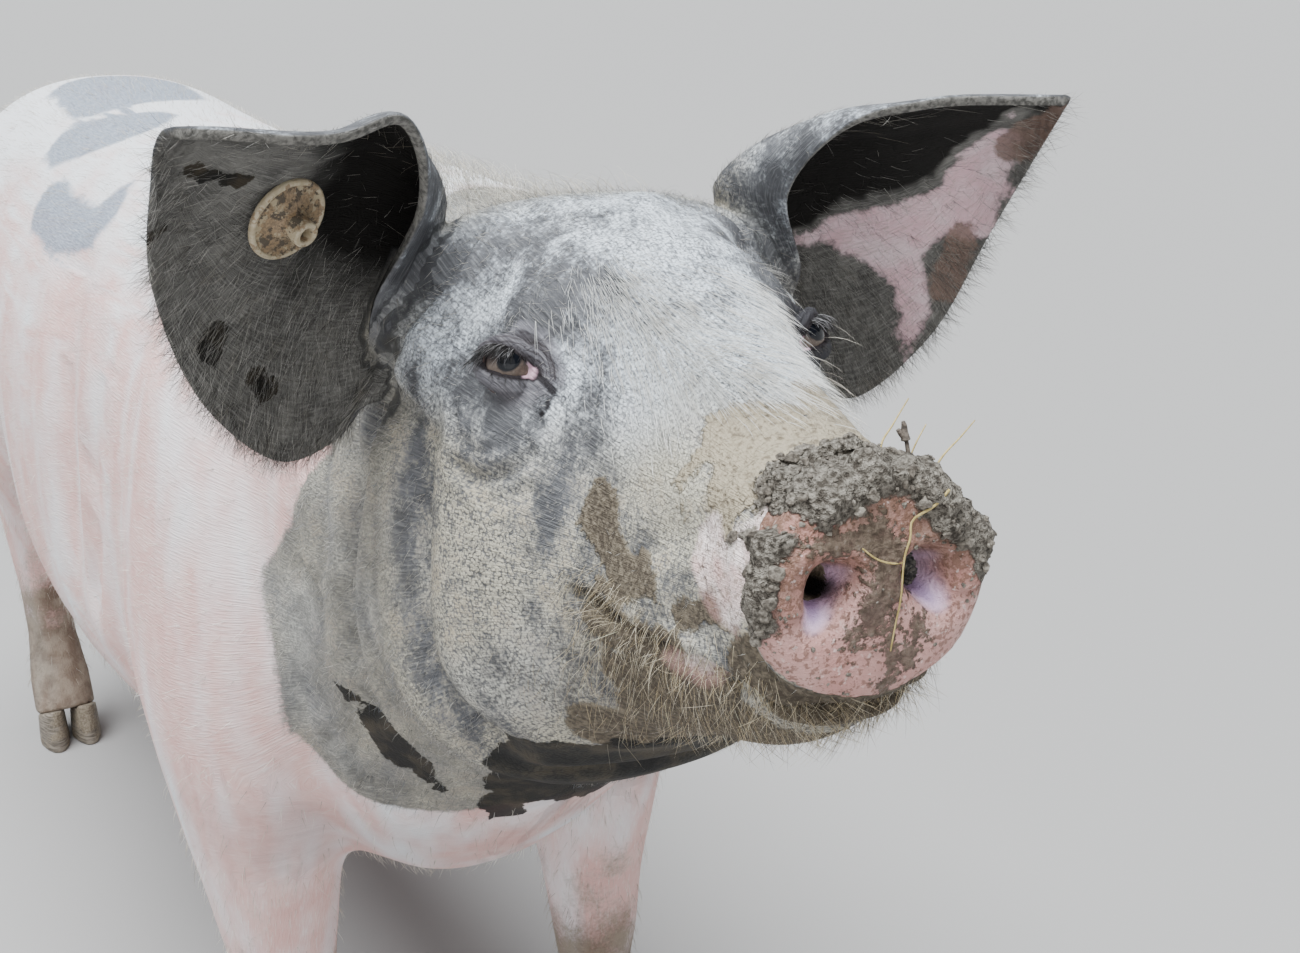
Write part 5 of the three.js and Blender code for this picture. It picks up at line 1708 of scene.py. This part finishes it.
def horn_material():
    sheet = Sheet("horn")
    rings = sheet.noise(1.0, 3, 0.6, at=sheet.stretch(sheet.place, (60, 60, 700)))
    grit, patch = sheet.noise(500, 3, 0.6), sheet.noise(45, 3, 0.6)
    horn = rings.tones(0.35, 0.65, (0.085, 0.070, 0.055), (0.24, 0.205, 0.165))
    mud = (patch + (grit - 0.5) * 0.3).step(0.44, 0.56)
    colour = sheet.mix(mud * 0.8, horn, grit.tones(0.35, 0.65, (0.13, 0.10, 0.068), (0.27, 0.225, 0.165)))
    return sheet.finish(Base_Color=colour, Roughness=0.55 + mud * 0.3,
                        Normal=sheet.bump(rings * 0.8 + mud * grit, 0.0006, 0.7))


horn_finish = horn_material()
for foot in FEET:
    nodes = [f"{claw}_{foot}_{place}" for claw in ("claw", "dewclaw") for place in ("outer", "inner")]
    claws = remesh(join_copies(f"claws_{foot}", nodes, CLAW_SWELL), CLAW_VOXEL)
    relax(claws.data, 9, 0.5)
    at, way = points_of(claws.data), normals_of(claws.data)
    rings = np.sin(at[:, 2] / MM * 1.9 + ragged(at, 0.012, 2.5, 31))
    steps = RING_DEPTH * rings * smooth_step(at[:, 2], 0.002, 0.006)
    set_points(claws.data, at + way * steps[:, None])
    smooth_faces(claws.data)
    claws.data.materials.append(horn_finish)
    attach(claws, "root")
    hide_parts(*nodes)
    print(claws.name, "faces:", len(claws.data.polygons))

# %% [markdown]
# ## Crumbs and straws on the snout
# A pig that roots in the soil carries some of it away. Clods sit along the edge of the mud, small crumbs
# are scattered over the disc, and a few dry stalks have stuck. Each clod is a small icosphere pushed about
# by noise, and each stalk a thin cone with rings along it, bent over a curve.

# %% Clods and crumbs


def add_clods(bm, roots, sizes, flatness, steps):
    for at, normal, size in zip(roots["point"], roots["normal"], sizes):
        at = Vector(at + normal * size * flatness * 0.4 * MM)
        turn = Vector(normal).to_track_quat("Z", "Y").to_matrix().to_4x4()
        shape = Matrix.Diagonal((size * MM, size * MM * RANDOM.uniform(0.6, 1), size * flatness * MM, 1))
        spun = Matrix.Rotation(RANDOM.uniform(0, 6.28), 4, "Z")
        made = bmesh.ops.create_icosphere(bm, subdivisions=steps, radius=1.0,
                                          matrix=Matrix.Translation(at) @ turn @ spun @ shape)
        for vert in made["verts"]:
            vert.co = at + (vert.co - at) * (1 + 1.1 * noise.noise(vert.co / (1.0 * size * MM)))


bm = bmesh.new()
roots = sow(90, lambda f: (f["local"][:, 1] > 110) * bump(f["cake"] - 1.5, 2.5)
            * (1 + 2 * (f["local"][:, 2] > -36)))
add_clods(bm, roots, RANDOM.uniform(0.9, 2.2, 90), 0.6, 2)
roots = sow(420, lambda f: (f["local"][:, 1] > 110)
            * ((f["cake"] > -2.5) * 1.2 + (f["disc"] > 0) * 0.5 * (f["hole"] < 0.1)))
add_clods(bm, roots, RANDOM.uniform(0.3, 0.95, 420), 0.6, 1)
crumbs = mesh_object("crumbs", bm)
sheet = Sheet("crumb_mud")
grit = sheet.noise(700, 3, 0.6)
tone = sheet.noise(110, 2).step(0.35, 0.65)
crumbs.data.materials.append(sheet.finish(
    Base_Color=sheet.mix(grit.step(0.35, 0.65), sheet.mix(tone, (0.055, 0.045, 0.036), (0.10, 0.086, 0.070)),
                         sheet.mix(tone, (0.16, 0.138, 0.112), (0.27, 0.243, 0.205))),
    Roughness=0.9, Normal=sheet.bump(grit, 0.0004, 0.8)))
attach(crumbs, "root")
print("crumb faces:", len(crumbs.data.polygons))

# %% Stalks
snout_tree = tree_of(skin)


def laid(path, above):
    """The path moved along the head's own forward axis until it lies so many millimetres over the skin."""
    found = []
    for side, forward, up in path:
        start = Vector(from_head([side, forward + 40, up]))
        hit = snout_tree.ray_cast(start, Vector(BACK))[0]
        found.append(to_head([hit])[0] + (0, above, 0) if hit else np.array([side, forward, up], float))
    return np.array(found)


def add_stalk(bm, path, start, end, flat=0.5, steps=22):
    """A stalk along a path in head millimetres, with its radius at the start and at the end."""
    stalk = bmesh.new()
    bmesh.ops.create_cone(stalk, cap_ends=True, segments=6, radius1=start, radius2=end, depth=1)
    long_edges = [e for e in stalk.edges if abs(e.verts[0].co.z - e.verts[1].co.z) > 0.5]
    bmesh.ops.subdivide_edges(stalk, edges=long_edges, cuts=steps)
    local = np.array([v.co for v in stalk.verts])
    share = np.clip(local[:, 2] + 0.5, 0, 1)
    along = on_rail(path, np.minimum(share + 0.02, 1)) - on_rail(path, np.maximum(share - 0.02, 0))
    along = unit(along)
    across = unit(np.cross(along, (0, 1, 0.3)))
    places = on_rail(path, share) + across * local[:, :1] + np.cross(across, along) * local[:, 1:2] * flat
    for vert, place in zip(stalk.verts, from_head(places)):
        vert.co = place
    bmesh.ops.recalc_face_normals(stalk, faces=stalk.faces)
    pour(stalk, bm)


STRAW = [[21, 172, -32], [15, 174, -36], [9, 174, -40], [8, 174, -45], [6, 173, -51], [5, 171, -63],
         [4, 170, -73], [3, 168, -80]]
bm = bmesh.new()
add_stalk(bm, laid(STRAW, 0.7), 0.48, 0.28)
add_stalk(bm, laid([[-8, 175, -46], [-3, 175, -50], [2, 174, -52], [6.5, 173, -52.5]], 0.5), 0.28, 0.35)
add_stalk(bm, [[16, 150, -30], [17, 145, -22], [24, 141, -16], [33, 136, -9]], 0.5, 0.22)
add_stalk(bm, [[22, 165, -30], [26, 166, -24], [34, 164, -19], [42, 160, -15]], 0.45, 0.2)
add_stalk(bm, [[18, 158, -27], [22, 158, -20], [27, 156, -15]], 0.35, 0.2)
straws = mesh_object("straws", bm)
sheet = Sheet("straw")
fibre = sheet.noise(1.0, 3, 0.6, at=sheet.stretch(sheet.place, (900, 900, 250)))
colour = fibre.tones(0.3, 0.7, (0.34, 0.25, 0.075), (0.55, 0.43, 0.18))
straws.data.materials.append(sheet.finish(Base_Color=colour, Roughness=0.6,
                                          Normal=sheet.bump(fibre, 0.0002, 0.5)))
bm = bmesh.new()
add_stalk(bm, [[20, 156, -36], [20, 157, -28], [19.5, 157, -22], [19, 157, -17.5]], 0.9, 0.6, flat=1.0)
add_stalk(bm, [[19, 157, -19], [18.6, 157, -16.6], [18.4, 157.4, -14.4], [18.0, 157.6, -13]],
          1.5, 0.6, flat=1.0)
add_stalk(bm, [[19.2, 157, -19], [17.4, 157, -17], [16.4, 157, -15.4]], 0.9, 0.7, flat=1.0)
twig = mesh_object("twig", bm)
sheet = Sheet("bark")
bark = sheet.noise(600, 3, 0.65)
colour = bark.tones(0.35, 0.65, (0.060, 0.048, 0.040), (0.20, 0.165, 0.135))
twig.data.materials.append(sheet.finish(Base_Color=colour, Roughness=0.85,
                                        Normal=sheet.bump(bark, 0.0005, 0.9)))
for piece in (straws, twig):
    smooth_faces(piece.data)
    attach(piece, "root")
    print(piece.name, "faces:", len(piece.data.polygons))

# %% [markdown]
# ## Camera, light and floor
# The camera looks down a little at the head from its right. One wide soft sun and a weak lamp in front
# light a plain pale floor, which rises far away so that its edge is never seen.

# %% Camera
AZIMUTH, DOWN, ROLL = math.radians(-32), math.radians(16.5), math.radians(0.4)
CAMERA_AT, LENS, LENS_SHIFT = (-0.31135, -1.01758, 0.7781), 40.154, -0.035
camera_data = bpy.data.cameras.new("camera")
camera = bpy.data.objects.new("camera", camera_data)
bpy.context.scene.collection.objects.link(camera)
camera_data.sensor_width, camera_data.clip_end = 36, 4000
camera_data.lens, camera_data.shift_y = LENS, LENS_SHIFT
forward = Vector((-math.sin(AZIMUTH) * math.cos(DOWN), math.cos(AZIMUTH) * math.cos(DOWN), -math.sin(DOWN)))
turn = forward.to_track_quat("-Z", "Y") @ Matrix.Rotation(-ROLL, 3, "Z").to_quaternion()
camera.rotation_euler = turn.to_euler()
camera.location = CAMERA_AT
bpy.context.scene.camera = camera
print("camera at", CAMERA_AT, "lens", LENS)

# %% Light
SUN_WIDTH, SUN_COLOUR = math.radians(52), (0.93, 0.975, 1.0)
SKY_COLOUR, SKY_STRENGTH = (0.86, 0.935, 1.0, 1), 0.15


def shine(name, kind, at, towards, energy):
    data = bpy.data.lights.new(name, kind)
    data.energy = energy
    lamp = bpy.data.objects.new(name, data)
    bpy.context.scene.collection.objects.link(lamp)
    lamp.location = at
    lamp.rotation_euler = (Vector(towards) - Vector(at)).to_track_quat("-Z", "Y").to_euler()
    return data


sun = shine("sky", "SUN", (-0.6, -0.4, 3.0), (0, -0.2, 0.4), 9.4)
sun.angle, sun.color = SUN_WIDTH, SUN_COLOUR
lamp = shine("front", "AREA", (-1.6, -2.6, 1.6), (0, -0.4, 0.5), 18)
lamp.shape, lamp.size = "DISK", 3.2
world = bpy.data.worlds.new("sky")
bpy.context.scene.world = world
world.use_nodes = True
sky = world.node_tree.nodes["Background"].inputs
sky["Color"].default_value, sky["Strength"].default_value = SKY_COLOUR, SKY_STRENGTH

# %% Floor
FLOOR_REACH, LEVEL_REACH, FLOOR_RISE = 600, 60, 0.0006
FLOOR_COLOUR = (0.335, 0.325, 0.32, 1)
bm = bmesh.new()
bmesh.ops.create_grid(bm, x_segments=60, y_segments=60, size=FLOOR_REACH)
for vert in bm.verts:
    vert.co.z = FLOOR_RISE * max(vert.co.to_2d().length - LEVEL_REACH, 0) ** 2
floor = mesh_object("floor", bm)
smooth_faces(floor.data)
floor.data.materials.append(Sheet("floor_plain").finish(Base_Color=FLOOR_COLOUR, Roughness=0.9))

smooth_faces(skin.data)
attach(skin, "root")
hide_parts(*FLESH, "ear_left", "ear_right")

# %% [markdown]
# ## The end

# %% Bring the scene up to date
bpy.context.view_layer.update()
